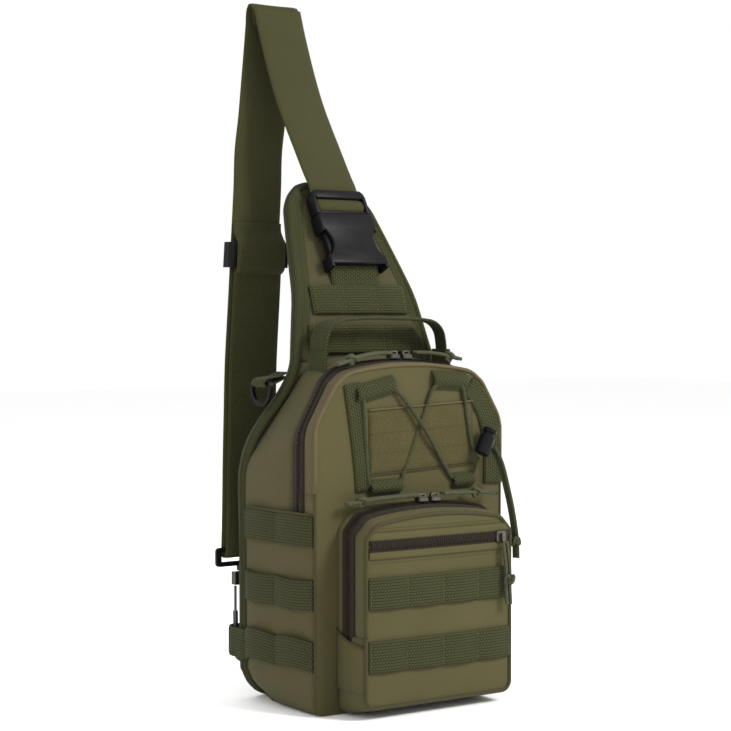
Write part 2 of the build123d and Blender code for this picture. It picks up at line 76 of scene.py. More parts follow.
def make_camera():
    azimuth, elevation, distance = math.radians(-37), math.radians(1.5), 1.7
    target = Vector((-0.013, 0, 0.278))
    back = Vector((math.sin(azimuth) * math.cos(elevation), -math.cos(azimuth) * math.cos(elevation),
                   math.sin(elevation)))
    data = bpy.data.cameras.new("camera")
    data.lens = 100.5
    camera = bpy.data.objects.new("camera", data)
    bpy.context.scene.collection.objects.link(camera)
    camera.location = target + back * distance
    aim(camera, target)
    bpy.context.scene.camera = camera


def area_light(name, place, target, size, power):
    data = bpy.data.lights.new(name, "AREA")
    data.shape = "DISK"
    data.size = size
    data.energy = power
    lamp = bpy.data.objects.new(name, data)
    bpy.context.scene.collection.objects.link(lamp)
    lamp.location = place
    aim(lamp, target)


def make_studio():
    world = bpy.data.worlds.new("studio")
    bpy.context.scene.world = world
    world.use_nodes = True
    backdrop = world.node_tree.nodes["Background"]
    backdrop.inputs["Color"].default_value = (1, 1, 1, 1)
    backdrop.inputs["Strength"].default_value = 1.0
    area_light("key", (0.75, -1.6, 1.5), (0, 0, 0.25), 0.7, 46)
    area_light("fill", (-1.7, -0.7, 0.9), (0, 0, 0.2), 1.2, 6)
    area_light("rim", (0.2, 1.5, 1.3), (0, 0, 0.3), 1.0, 14)
    data = bpy.data.meshes.new("floor")
    half = 6
    data.from_pydata([(-half, -half, 0), (half, -half, 0), (half, half, 0), (-half, half, 0)], [],
                     [(0, 1, 2, 3)])
    floor = bpy.data.objects.new("floor", data)
    bpy.context.scene.collection.objects.link(floor)
    paint = bpy.data.materials.new("floor_paper")
    paint.use_nodes = True
    paint.node_tree.nodes["Principled BSDF"].inputs["Base Color"].default_value = (0.97, 0.97, 0.97, 1)
    paint.node_tree.nodes["Principled BSDF"].inputs["Roughness"].default_value = 0.85
    data.materials.append(paint)
    bpy.context.scene.view_settings.view_transform = "Standard"


# ---------------------------------------------------------------- materials
class Shader:
    """A small helper around one material's nodes."""

    def __init__(self, name):
        self.material = bpy.data.materials.new(name)
        self.material.use_nodes = True
        self.tree = self.material.node_tree
        self.bsdf = self.tree.nodes["Principled BSDF"]

    def node(self, kind, props=None, **inputs):
        made = self.tree.nodes.new(kind)
        for key, value in (props or {}).items():
            setattr(made, key, value)
        for key, value in inputs.items():
            self.put(made.inputs[key.replace("_", " ")], value)
        return made

    def put(self, socket, value):
        if isinstance(value, bpy.types.NodeSocket):
            self.tree.links.new(value, socket)
        else:
            socket.default_value = value

    def math(self, operation, a, b=0.0, c=0.0):
        made = self.tree.nodes.new("ShaderNodeMath")
        made.operation = operation
        for socket, value in zip(made.inputs, (a, b, c)):
            self.put(socket, value)
        return made.outputs[0]

    def mix(self, factor, a, b):
        made = self.tree.nodes.new("ShaderNodeMix")
        made.data_type = "RGBA"
        for index, value in ((0, factor), (6, a), (7, b)):
            self.put(made.inputs[index], value)
        return made.outputs[2]

    def noise(self, vector, scale, detail=3.0):
        return self.node("ShaderNodeTexNoise", Vector=vector, Scale=scale, Detail=detail).outputs["Fac"]

    def bump(self, height, distance, strength=1.0):
        made = self.node("ShaderNodeBump", Height=height, Distance=distance, Strength=strength)
        self.put(self.bsdf.inputs["Normal"], made.outputs[0])

    def finish(self, colour, roughness, sheen=0.0, metallic=0.0, specular=0.5):
        self.put(self.bsdf.inputs["Base Color"], colour)
        self.put(self.bsdf.inputs["Roughness"], roughness)
        self.bsdf.inputs["Metallic"].default_value = metallic
        self.bsdf.inputs["Specular IOR Level"].default_value = specular
        self.bsdf.inputs["Sheen Weight"].default_value = sheen
        self.bsdf.inputs["Sheen Roughness"].default_value = 0.6
        return self.material


def rgba(colour, gain=1.0):
    return (colour[0] * gain, colour[1] * gain, colour[2] * gain, 1.0)


def pack_cloth(name, colour, twill=0.0023, contrast=0.22):
    """Coated oxford cloth: diagonal ribs, thread grain, and slow changes of shade."""
    s = Shader(name)
    where = s.node("ShaderNodeTexCoord").outputs["Object"]
    split = s.node("ShaderNodeSeparateXYZ", Vector=where)
    x, y, z = split.outputs
    diagonal = s.math("ADD", s.math("SUBTRACT", z, x), y)
    other = s.math("ADD", s.math("ADD", z, x), s.math("MULTIPLY", y, -1.0))
    rib = s.math("SINE", s.math("MULTIPLY", diagonal, 2 * math.pi / twill))
    thread = s.math("SINE", s.math("MULTIPLY", other, 2 * math.pi / (twill * 0.55)))
    weave = s.math("MULTIPLY_ADD", rib, 0.36, s.math("MULTIPLY_ADD", thread, 0.14, 0.5))
    grain = s.noise(where, 700.0, 2.0)
    cloud = s.noise(where, 14.0, 3.0)
    height = s.math("MULTIPLY_ADD", grain, 0.45, weave)
    shade = s.math("MULTIPLY_ADD", s.math("SUBTRACT", cloud, 0.5), 0.55, weave)
    tone = s.mix(shade, rgba(colour, 1 - contrast), rgba(colour, 1 + contrast))
    tone = s.mix(s.math("MULTIPLY", grain, 0.3), tone, rgba(colour, 0.72))
    s.bump(height, 0.00035, 0.75)
    return s.finish(tone, s.math("MULTIPLY_ADD", cloud, 0.16, 0.72), sheen=0.03, specular=0.14)


def woven_tape(name, colour, dash=2.9, row=2.3, gap=0.55, contrast=0.8, depth=0.0009):
    """Webbing seen close: rows of yarn floats along the tape, each row shifted by half a float."""
    s = Shader(name)
    uv = s.node("ShaderNodeTexCoord").outputs["UV"]
    scaled = s.node("ShaderNodeVectorMath", {"operation": "SCALE"}, Vector=uv)
    scaled.inputs["Scale"].default_value = 1000.0
    brick = s.node("ShaderNodeTexBrick", {"offset": 0.5}, Vector=scaled.outputs[0], Scale=1.0,
                   Mortar_Size=gap,
                   Mortar_Smooth=0.9, Brick_Width=dash, Row_Height=row)
    brick.inputs["Color1"].default_value = (1, 1, 1, 1)
    brick.inputs["Color2"].default_value = (0.55, 0.55, 0.55, 1)
    where = s.node("ShaderNodeTexCoord").outputs["Object"]
    cloud = s.noise(where, 22.0, 3.0)
    fuzz = s.noise(where, 1500.0, 2.0)
    hollow = brick.outputs["Fac"]
    tone = s.mix(hollow, rgba(colour, 1.35), rgba(colour, 1 - contrast))
    tone = s.mix(s.math("MULTIPLY", s.math("SUBTRACT", 1.0, brick.outputs["Color"]), 0.35), tone,
                 rgba(colour, 0.7))
    tone = s.mix(s.math("MULTIPLY", cloud, 0.45), tone, rgba(colour, 0.68))
    height = s.math("MULTIPLY_ADD", fuzz, 0.3, s.math("SUBTRACT", 1.0, hollow))
    s.bump(height, depth, 0.8)
    return s.finish(tone, s.math("MULTIPLY_ADD", fuzz, 0.15, 0.78), sheen=0.03, specular=0.12)


def braid(name, colour, pitch=0.0016):
    """Braided cord: two crossing sets of slanted yarns."""
    s = Shader(name)
    where = s.node("ShaderNodeTexCoord").outputs["Object"]
    split = s.node("ShaderNodeSeparateXYZ", Vector=where)
    x, y, z = split.outputs
    turn = 2 * math.pi / pitch
    one = s.math("SINE", s.math("MULTIPLY", s.math("ADD", s.math("ADD", x, z), y), turn))
    two = s.math("SINE", s.math("MULTIPLY", s.math("SUBTRACT", s.math("SUBTRACT", x, z), y), turn))
    knit = s.math("MAXIMUM", one, two)
    fuzz = s.noise(where, 1800.0, 2.0)
    fleck = s.math("GREATER_THAN", s.noise(where, 420.0, 1.0), 0.62)
    tone = s.mix(s.math("MULTIPLY_ADD", knit, 0.5, 0.5), rgba(colour, 0.5), rgba(colour, 1.2))
    tone = s.mix(s.math("MULTIPLY", fleck, 0.4), tone, rgba(colour, 0.45))
    s.bump(s.math("MULTIPLY_ADD", fuzz, 0.4, knit), 0.0003, 0.8)
    return s.finish(tone, 0.82, sheen=0.04, specular=0.15)


def pile(name, colour):
    """Napped loop pile: matted fibres with darker pits."""
    s = Shader(name)
    where = s.node("ShaderNodeTexCoord").outputs["Object"]
    loops = s.node("ShaderNodeTexVoronoi", Vector=where, Scale=820.0).outputs["Distance"]
    fibres = s.noise(where, 1300.0, 4.0)
    cloud = s.noise(where, 60.0, 4.0)
    tone = s.mix(fibres, rgba(colour, 0.45), rgba(colour, 1.75))
    tone = s.mix(s.math("MULTIPLY", cloud, 0.55), tone, rgba(colour, 0.55))
    s.bump(s.math("MULTIPLY_ADD", fibres, 1.2, loops), 0.0007, 1.0)
    return s.finish(tone, 0.92, sheen=0.06, specular=0.08)


def plastic(name, colour, roughness=0.42):
    """Moulded acetal with a fine spark-eroded grain and faint handling marks."""
    s = Shader(name)
    where = s.node("ShaderNodeTexCoord").outputs["Object"]
    grain = s.noise(where, 2600.0, 2.0)
    marks = s.noise(where, 90.0, 5.0)
    tone = s.mix(marks, rgba(colour, 0.75), rgba(colour, 1.5))
    s.bump(grain, 0.00006, 0.5)
    return s.finish(tone, s.math("MULTIPLY_ADD", marks, 0.2, roughness - 0.1), specular=0.09)


def metal(name, colour, roughness=0.3):
    """Plated die-cast zinc, a little tarnished."""
    s = Shader(name)
    where = s.node("ShaderNodeTexCoord").outputs["Object"]
    marks = s.noise(where, 240.0, 4.0)
    tone = s.mix(marks, rgba(colour, 0.55), rgba(colour, 1.1))
    s.bump(marks, 0.00005, 0.5)
    return s.finish(tone, s.math("MULTIPLY_ADD", marks, 0.3, roughness), metallic=1.0)


def spacer_mesh(name, colour):
    """Air mesh on the wearer's side: a grid of round holes in a knitted face."""
    s = Shader(name)
    where = s.node("ShaderNodeTexCoord").outputs["Object"]
    split = s.node("ShaderNodeSeparateXYZ", Vector=where)
    x, _, z = split.outputs
    pitch = 2 * math.pi / 0.0032
    across = s.math("SINE", s.math("MULTIPLY", s.math("ADD", x, z), pitch * 0.5))
    along = s.math("SINE", s.math("MULTIPLY", s.math("SUBTRACT", x, z), pitch * 0.5))
    hole = s.math("MULTIPLY", across, along)
    pit = s.math("GREATER_THAN", hole, 0.35)
    grain = s.noise(where, 1500.0, 2.0)
    tone = s.mix(pit, rgba(colour, 1.1), rgba(colour, 0.3))
    tone = s.mix(s.math("MULTIPLY", grain, 0.4), tone, rgba(colour, 0.6))
    s.bump(s.math("SUBTRACT", 1.0, s.math("MAXIMUM", hole, 0.0)), 0.0008, 0.8)
    return s.finish(tone, 0.85, sheen=0.03, specular=0.12)


OLIVE = (0.066, 0.058, 0.0215)
GREEN = (0.037, 0.0395, 0.0118)
CLOTH = pack_cloth("pack_cloth", OLIVE)
WEBBING = woven_tape("webbing", GREEN)
STRAP_CLOTH = woven_tape("strap_webbing", (0.043, 0.042, 0.013), dash=2.0, row=1.6, gap=0.34, contrast=0.6,
                         depth=0.0006)
BINDING = woven_tape("binding_tape", (0.036, 0.038, 0.0115), dash=2.0, row=1.7, gap=0.36, contrast=0.6,
                     depth=0.0006)
PIPING = pack_cloth("piping_cloth", (0.098, 0.076, 0.034), 0.0012, 0.22)
BAND = pack_cloth("seam_band", (0.082, 0.064, 0.029), 0.0014, 0.25)
DARK_PIPING = pack_cloth("seam_cloth", (0.045, 0.040, 0.015), 0.0012, 0.15)
ZIP_TAPE = woven_tape("zip_tape", (0.027, 0.021, 0.011), dash=1.4, row=1.1, gap=0.2, contrast=0.4,
                      depth=0.0003)
COIL = plastic("zip_coil", (0.016, 0.011, 0.008), 0.42)
PULL_CORD = braid("pull_cord", (0.058, 0.062, 0.030))
ELASTIC = braid("elastic_cord", (0.040, 0.043, 0.017), 0.0012)
THREAD = braid("sewing_thread", (0.060, 0.056, 0.018), 0.0008)
PILE = pile("loop_pile", (0.062, 0.052, 0.0165))
BLACK = plastic("black_plastic", (0.0045, 0.0045, 0.005), 0.36)
STEEL = metal("plated_metal", (0.13, 0.12, 0.10), 0.32)
DARK_STEEL = metal("black_metal", (0.10, 0.10, 0.10), 0.35)
AIR_MESH = spacer_mesh("air_mesh", (0.032, 0.033, 0.013))


# ---------------------------------------------------------------- mesh helpers
def piece(name, points, faces, material, body, stands_for=(), uvs=None):
    data = bpy.data.meshes.new(name)
    data.from_pydata([Vector(p) * MM for p in points], [], faces)
    data.validate()
    if uvs:
        layer = data.uv_layers.new(name="UVMap")
        for loop in data.loops:
            u, v = uvs[loop.vertex_index]
            layer.data[loop.index].uv = (u * MM, v * MM)
    data.materials.append(material)
    data.polygons.foreach_set("use_smooth", [True] * len(data.polygons))
    obj = bpy.data.objects.new(name, data)
    bpy.context.scene.collection.objects.link(obj)
    edit = bmesh.new()
    edit.from_mesh(data)
    bmesh.ops.recalc_face_normals(edit, faces=edit.faces)
    edit.to_mesh(data)
    edit.free()
    if body:
        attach(obj, body)
    if stands_for:
        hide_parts(*stands_for)
    return obj


def grid_faces(rows, columns, closed=False):
    """Faces of a grid of points, its last column joined to its first if it is closed."""
    faces = []
    for i in range(rows - 1):
        for j in range(columns if closed else columns - 1):
            a, b = i * columns + j, i * columns + (j + 1) % columns
            faces.append((a, b, b + columns, a + columns))
    return faces


def tube_faces(rings, sides):
    """Faces of a closed tube: its wall and its two end caps."""
    faces = grid_faces(rings, sides, True)
    faces.append(tuple(range(sides)))
    faces.append(tuple(reversed(range((rings - 1) * sides, rings * sides))))
    return faces


def modify(obj, kind, **settings):
    made = obj.modifiers.new(kind.lower(), kind)
    for key, value in settings.items():
        setattr(made, key, value)
    return made


def cloth_grid(name, rows, material, body, stands_for=(), thick=1.4, uv=False):
    """A sheet through rows of points, given its thickness behind the surface."""
    columns = len(rows[0])
    points = [p for row in rows for p in row]
    uvs = None
    if uv:
        uvs = []
        for row in rows:
            run = 0.0
            for j, p in enumerate(row):
                run += (Vector(p) - Vector(row[j - 1])).length if j else 0.0
                uvs.append((run, 0))
    obj = piece(name, points, grid_faces(len(rows), columns), material, body, stands_for, uvs)
    if thick:
        modify(obj, "SOLIDIFY", thickness=thick * MM, offset=-1)
    return obj


def smooth_path(points, per=8):
    """A Catmull-Rom curve through the points."""
    vs = [Vector(p) for p in points]
    vs = [vs[0] * 2 - vs[1]] + vs + [vs[-1] * 2 - vs[-2]]
    made = []
    for i in range(1, len(vs) - 2):
        p0, p1, p2, p3 = vs[i - 1 : i + 3]
        for k in range(per):
            t = k / per
            made.append(0.5 * ((2 * p1) + (p2 - p0) * t + (2 * p0 - 5 * p1 + 4 * p2 - p3) * t * t
                               + (3 * p1 - p0 - 3 * p2 + p3) * t ** 3))
    made.append(vs[-2])
    return made


def tangents(path):
    """The path's direction at each of its points, not normalized."""
    return [path[min(i + 1, len(path) - 1)] - path[max(i - 1, 0)] for i in range(len(path))]


def lengths(path):
    run = [0.0]
    for a, b in zip(path, path[1:]):
        run.append(run[-1] + (Vector(b) - Vector(a)).length)
    return run


def tape(name, path, across, width, thick, material, body, stands_for=(), columns=10,
         cup=0.0):
    """Flat webbing along a path. across is one unit vector, or one for each point of the path."""
    path = [Vector(p) for p in path]
    if isinstance(across, Vector):
        across = [across] * len(path)
    widths = width if isinstance(width, list) else [width] * len(path)
    run = lengths(path)
    points, uvs = [], []
    for i, (centre, ahead) in enumerate(zip(path, tangents(path))):
        side = across[i].normalized()
        out = ahead.cross(side).normalized()
        for face in (1, -1):
            for k in range(columns + 1):
                v = k / columns if face == 1 else 1 - k / columns
                edge = abs(2 * v - 1)
                half = thick / 2 * math.sqrt(max(0.05, 1 - edge ** 10))
                bow = cup * (1 - edge * edge)
                points.append(centre + side * (v - 0.5) * widths[i] + out * (face * half + bow))
                uvs.append((run[i], v * widths[i] + (0 if face == 1 else 3)))
    ring = 2 * (columns + 1)
    return piece(name, points, tube_faces(len(path), ring), material, body, stands_for, uvs)


def tube_mesh(path, radius, sides=10, flat=1.0, up=Vector((0, 0, 1))):
    """Points and faces of a round or flattened tube along a path."""
    path = [Vector(p) for p in path]
    points = []
    one = None
    for centre, ahead in zip(path, tangents(path)):
        ahead = ahead.normalized()
        if one is None or flat != 1.0:
            one = ahead.cross(up)
            one = one if one.length > 1e-4 else ahead.orthogonal()
        one = (one - ahead * one.dot(ahead)).normalized()
        two = one.cross(ahead)
        for k in range(sides):
            turn = 2 * math.pi * k / sides
            points.append(centre + one * math.cos(turn) * radius + two * math.sin(turn) * radius * flat)
    return points, tube_faces(len(path), sides)


def tube(name, path, radius, material, body, stands_for=(), sides=10):
    points, faces = tube_mesh(path, radius, sides)
    return piece(name, points, faces, material, body, stands_for, None)


def stitches(name, lines, body):
    """Rows of stitches: each line is (points, outward normal)."""
    pitch, size = 3.4, 0.42
    points, faces = [], []
    for path, out in lines:
        path = [Vector(p) for p in path]
        run = lengths(path)
        for k in range(int(run[-1] / pitch)):
            spot = []
            for at in (k * pitch + 0.15 * pitch, k * pitch + 0.8 * pitch):
                i = max(j for j, r in enumerate(run[:-1]) if r <= at)
                spot.append(path[i].lerp(path[i + 1], (at - run[i]) / max(1e-6, run[i + 1] - run[i])))
            ahead = (spot[1] - spot[0]).normalized()
            side = ahead.cross(out).normalized() * size * 0.55
            lift = out.normalized() * size
            base = len(points)
            for p, rise in ((spot[0], 0.15), (spot[0].lerp(spot[1], 0.3), 1), (spot[0].lerp(spot[1], 0.7), 1),
                            (spot[1], 0.15)):
                points += [p - side - lift * 0.4, p + lift * rise, p + side - lift * 0.4]
            faces += [(base + 3 * i + a, base + 3 * i + a + 1, base + 3 * i + a + 4, base + 3 * i + a + 3)
                      for i in range(3) for a in (0, 1)]
    return piece(name, points, faces, THREAD, body)


def inflate(obj, pressure, cap):
    """Cloth simulation under pressure with the sheet's border sewn down; no point moves past cap."""
    rest = [v.co.copy() for v in obj.data.vertices]
    edit = bmesh.new()
    edit.from_mesh(obj.data)
    pinned = [v.index for v in edit.verts if v.is_boundary]
    edit.free()
    group = obj.vertex_groups.new(name="sewn")
    group.add(pinned, 1.0, "REPLACE")
    cloth = obj.modifiers.new("cloth", "CLOTH")
    cloth.settings.quality = 6
    cloth.settings.mass = 0.2
    cloth.settings.tension_stiffness = 25
    cloth.settings.compression_stiffness = 20
    cloth.settings.bending_stiffness = 1.5
    cloth.settings.use_pressure = True
    cloth.settings.uniform_pressure_force = pressure
    cloth.settings.vertex_group_mass = group.name
    cloth.settings.effector_weights.gravity = 0
    cloth.collision_settings.use_collision = False
    scene = bpy.context.scene
    for step in range(1, 21):
        scene.frame_set(step)
    shaped = obj.evaluated_get(bpy.context.evaluated_depsgraph_get()).data
    for v, start, now in zip(obj.data.vertices, rest, [w.co.copy() for w in shaped.vertices]):
        move = now - start
        v.co = start + move * min(1.0, cap * MM / max(move.length, 1e-9))
    obj.modifiers.remove(cloth)
    scene.frame_set(1)


def ripple(p, amount=0.8, size=45.0):
    """A small, slow unevenness at a point, the same on every run."""
    return amount * noise.noise(Vector(p) / size)


# ---------------------------------------------------------------- outlines
def corner(before, at, after, radius, count):
    """Points of the arc that rounds a corner between two straight runs (2-D)."""
    a, b, c = Vector(before), Vector(at), Vector(after)
    one, two = (a - b).normalized(), (c - b).normalized()
    half = one.angle(two) / 2
    reach = min(radius / math.tan(half), 0.48 * (a - b).length, 0.48 * (c - b).length)
    start, end = b + one * reach, b + two * reach
    centre = b + (one + two).normalized() * (reach / math.cos(half))
    r = (start - centre).length
    first, last = start - centre, end - centre
    made = []
    for k in range(count + 1):
        t = k / count
        mixed = first.lerp(last, t)
        made.append(centre + mixed.normalized() * r)
    return made


def lerp(a, b, t):
    return a + (b - a) * t


def half_outline(half, shoulder, corner_x, corner_z, crown, radius, top_radius, foot, levels, foot_radius=9):
    """Left half of a compartment's outline, from the bottom centre to the top centre."""
    bottom, side, top = (0, foot), (-half, shoulder), (-corner_x, corner_z)
    made = [Vector((-(half - foot_radius - 1) * k / 8, foot)) for k in range(8)]
    made += corner(bottom, (-half, foot), side, foot_radius, 7)
    turn = corner((-half, foot), side, top, radius, 8)
    made += [Vector((-half, z)) for z in levels if foot + foot_radius + 1 < z < turn[0].y - 1]
    made += turn
    arc = corner(side, top, (0, corner_z), top_radius, 7)
    made += [turn[-1].lerp(arc[0], k / 4) for k in range(1, 4)]
    made += arc
    made += [arc[-1].lerp(Vector((0, corner_z)), k / 12) for k in range(1, 13)]
    lifted = []
    for p in made:
        rise = crown * max(0.0, 1 - (p.x / corner_x) ** 2) if p.y > shoulder else 0.0
        lifted.append(Vector((p.x, p.y + rise)))
    return lifted


MAIN_LEVELS = [14 * k for k in range(1, 12)] + [162, 170, 178, 192, 206]
POCKET_LEVELS = [16, 24, 33, 42, 50, 58, 66, 76, 86, 96, 106, 116, 126, 134]


def main_outline(y):
    t = (y - FRONT_Y) / (BACK_Y - FRONT_Y)
    left = half_outline(BODY_HALF, lerp(232, 196, t), lerp(72, 54, t), lerp(272, 286, t), lerp(8, 4, t),
                        lerp(34, 40, t),
                        lerp(24, 20, t), 0, MAIN_LEVELS[2:13] + [178], lerp(9, 26, t))
    return left + [Vector((-p.x, p.y)) for p in reversed(left[1:-1])]


def pocket_outline(y):
    t = (y - POCKET_Y) / (FRONT_Y - POCKET_Y)
    left = half_outline(POCKET_HALF, lerp(143, 150, t), lerp(64, 62, t), lerp(155, 164, t), 6, 8, 10,
                        lerp(9, 1, t), POCKET_LEVELS)
    return left + [Vector((-p.x, p.y)) for p in reversed(left[1:-1])]


def back_profile():
    """The padded back's front line, from the floor to the top of the shoulder panel: (y, z) points."""
    line = [Vector(p) for p in BACK_LINE]
    made = [line[0].lerp(line[1], k / 12) for k in range(11)]
    for i, radius in ((1, 55), (2, 40), (3, 90)):
        made += corner(line[i - 1], line[i], line[i + 1], radius, 10)
    made += [made[-1].lerp(line[4], k / 6) for k in range(1, 7)]
    return [p for i, p in enumerate(made) if i == 0 or p.y > made[i - 1].y + 0.01]


PROFILE = back_profile()


def back_y(z):
    """Depth of the padded back's front line at a height."""
    for a, b in zip(PROFILE, PROFILE[1:]):
        if z <= b.y:
            return lerp(a.x, b.x, (z - a.y) / max(1e-6, b.y - a.y))
    return PROFILE[-1].x


def back_normal(z):
    """Unit normal of that line, towards the wearer."""
    slope = (back_y(z + 2) - back_y(z - 2)) / 4
    return Vector((0, 1, -slope)).normalized()


def outward(loop, i):
    ahead = loop[(i + 1) % len(loop)] - loop[i - 1]
    return Vector((ahead.y, -ahead.x)).normalized() * -1


def belt(outline, depths, bulge=0.0, limit=None, pinch=1.0, lift=0.0):
    """Rows of points round a compartment, one row for each place on its outline."""
    loops = {}
    count = len(outline(depths[0]))
    rows = []
    for i in range(count):
        row = []
        for k, depth in enumerate(depths):
            s = k / (len(depths) - 1)
            y = depth
            for _ in range(3):
                loop = loops.setdefault(round(y, 1), outline(round(y, 1)))
                if limit and k:
                    y = depths[0] + (min(depths[-1], limit(loop[i].y)) - depths[0]) * s
            out = outward(loop, i)
            p = Vector((loop[i].x, y, loop[i].y))
            rise = bulge * math.sin(math.pi * s) ** 0.8 - pinch * (math.exp(-s * 14) + math.exp((s - 1) * 14))
            rise += ripple(p, 0.9) * math.sin(math.pi * s) + lift
            spot = p + Vector((out.x, 0, out.y)) * rise
            spot.z = max(spot.z, 0.2)
            if limit and k:
                room = half_width(max(spot.z, 5)) - 1.5 + (1 - s) * 40
                spot.x = max(-room, min(room, spot.x))
            row.append(spot)
        rows.append(row)
    return rows


# ---------------------------------------------------------------- cords
def strand(name, route, body, stands_for, material):
    """One free cord, as an open spline through its route."""
    data = bpy.data.curves.new(name, "CURVE")
    data.dimensions = "3D"
    spline = data.splines.new("NURBS")
    spline.points.add(len(route) - 1)
    for point, place in zip(spline.points, route):
        point.co = (*(Vector(place) * MM), 1)
    spline.order_u = 3
    spline.use_endpoint_u = True
    data.resolution_u = 10
    data.bevel_depth = CORD_DIAMETER / 2 * MM
    data.bevel_resolution = 4
    data.use_fill_caps = True
    data.materials.append(material)
    obj = bpy.data.objects.new(name, data)
    bpy.context.scene.collection.objects.link(obj)
    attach(obj, body)
    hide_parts(stands_for)


def knot(name, centre, axis, body, material):
    """An overhand knot pulled tight, its length along the cord."""
    turn = Vector(axis).to_track_quat("Z", "Y")
    size, steps = 1.3, 56
    path = []
    for k in range(steps + 1):
        t = 2 * math.pi * k / steps
        flat = Vector((math.sin(t) + 2 * math.sin(2 * t), math.cos(t) - 2 * math.cos(2 * t),
                       -2.2 * math.sin(3 * t)))
        path.append(Vector(centre) + turn @ (flat * size))
    return tube(name, path, CORD_DIAMETER / 2, material, body)


# Each pull: body, route, step to its second strand, where its knot sits on the route, and its length.
PULLS = {
    "main_pull_left": ("main_slider_left",
                       [(-7.5, -24, 289), (-17, -27, 289.2), (-30, -29, 288.6), (-43, -32, 286.8),
                        (-56, -34, 284.2),
                        (-70, -36, 280.6)], (0, -3.8, -0.2), (-54, -35.6, 284.4), 65),
    "main_pull_right": ("main_slider_right",
                        [(18.5, -24, 289), (28, -27, 289), (38, -30, 288), (48, -32, 286), (60, -33, 283.2)],
                        (0, -3.8, -0.2), (49, -34, 285.6), 43),
    "pocket_pull_left": ("pocket_slider_left",
                         [(-7.5, -61, 174.5), (-18, -59, 174), (-32, -58, 173.5), (-46, -56.5, 173),
                          (-60, -55, 171.8), (-74, -54, 170)], (0, -3.8, -0.2), (-60, -57, 171.6), 67),
    "pocket_pull_right": ("pocket_slider_right",
                          [(18.5, -61, 174.5), (30, -60, 174), (43, -58.5, 173.6), (56, -58, 173.4),
                           (68, -56.5, 172.5), (80, -56, 171)], (0, -3.8, -0.2), (56, -59.8, 173.3), 62),
    "front_pull": ("front_slider",
                   [(62, -88.6, 132.8), (62.5, -89.8, 124), (64, -90.4, 111), (63.5, -90.4, 97),
                    (64.5, -90.6, 82)],
                   (4, 0, 0), (65.8, -92.8, 103), 51),
    "lacing_tail": ("lacing_tail",
                    [(77.4, -55, 209), (79.8, -57, 204.5), (82, -61, 194), (81.6, -67, 179), (82.2, -72, 163),
                     (82.4, -76, 147), (83.2, -78, 132), (82.6, -79, 118)], (0.8, -3.6, 0),
                    (82.8, -79.4, 132), 95.4),
}


def make_cords():
    for name, (body, route, step, knot_at, length) in PULLS.items():
        elastic = name == "lacing_tail"
        material, slot = (ELASTIC, "elastic_cord") if elastic else (PULL_CORD, "pull_cord")
        near = min(range(len(route)), key=lambda i: (Vector(route[i]) - Vector(knot_at)).length)
        axis = Vector(route[min(near + 1, len(route) - 1)]) - Vector(route[max(near - 1, 0)])
        tied = knot(name + "_knot", knot_at, axis, body, material)
        for k, tag in ((0, "_a"), (1, "_b")):
            moved = [tuple(Vector(p) + Vector(step) * k) for p in route]
            strand(name + tag, moved, body, name, material)


# ---------------------------------------------------------------- surfaces that other pieces lie on
class Skin:
    """The finished surface of a soft piece, for laying webbing, tape and stitches on it."""

    def __init__(self, *objs):
        points, faces = [], []
        graph = bpy.context.evaluated_depsgraph_get()
        for obj in objs:
            data = obj.evaluated_get(graph).data
            base = len(points)
            points += [v.co / MM for v in data.vertices]
            faces += [[base + i for i in p.vertices] for p in data.polygons]
        self.tree = bvhtree.BVHTree.FromPolygons(points, faces)

    def on(self, p, into, lift=0.0):
        into = Vector(into)
        spot = self.tree.ray_cast(Vector(p) - into * 40, into)[0]
        return (spot if spot else Vector(p)) - into * lift

    def row(self, points, into, lift=0.0, spread=None):
        """Points laid on the surface; spread is half the width that must stay clear of it."""
        laid = []
        for p in points:
            spots = [self.on(p, into, lift)]
            if spread:
                spots += [self.on(Vector(p) + Vector(spread) * k, into, lift) for k in (-1, -0.5, 0.5, 1)]
            depth = min(s.dot(Vector(into)) for s in spots)
            laid.append(spots[0] + Vector(into) * (depth - spots[0].dot(Vector(into))))
        return laid


def row_points(start, end, count):
    return [Vector(start).lerp(Vector(end), k / (count - 1)) for k in range(count)]


def panel(name, half, y, bulge, material, body, stands_for, columns=40, first=8):
    """A crowned front face inside a compartment's outline."""
    rows = []
    low, high = half[first].y, half[-1].y
    for p in half[first:]:
        v = (p.y - low) / (high - low)
        row = []
        for k in range(columns + 1):
            u = 2 * k / columns - 1
            crown = (1 - abs(u) ** 3.2) * (1 - abs(2 * v - 1) ** 3.2)
            spot = Vector((u * -p.x, y, p.y))
            row.append(spot - Vector((0, crown * bulge + ripple(spot, 1.0, 38) * crown, 0)))
        rows.append(row)
    return cloth_grid(name, rows, material, body, stands_for, thick=0)


def edge_cord(name, outline, y, low, high, radius, material, body, stands_for, cut=None):
    """Piping round a face's edge, between two heights."""
    inset, jump = 0.6, 60
    path = []
    for i, p in enumerate(outline):
        if low <= p.y <= high and not (cut and cut(p)):
            out = outward(outline, i)
            path.append(Vector((p.x - out.x * inset, y, p.y - out.y * inset)))
    jumps = [i for i in range(1, len(path)) if (path[i] - path[i - 1]).length > jump]
    made = []
    for k, (a, b) in enumerate(zip([0] + jumps, jumps + [len(path)])):
        if b - a > 2:
            made.append(tube(f"{name}_{k}" if jumps else name, smooth_path(path[a:b], 3), radius, material,
                             body,
                             stands_for, sides=8))
    return made


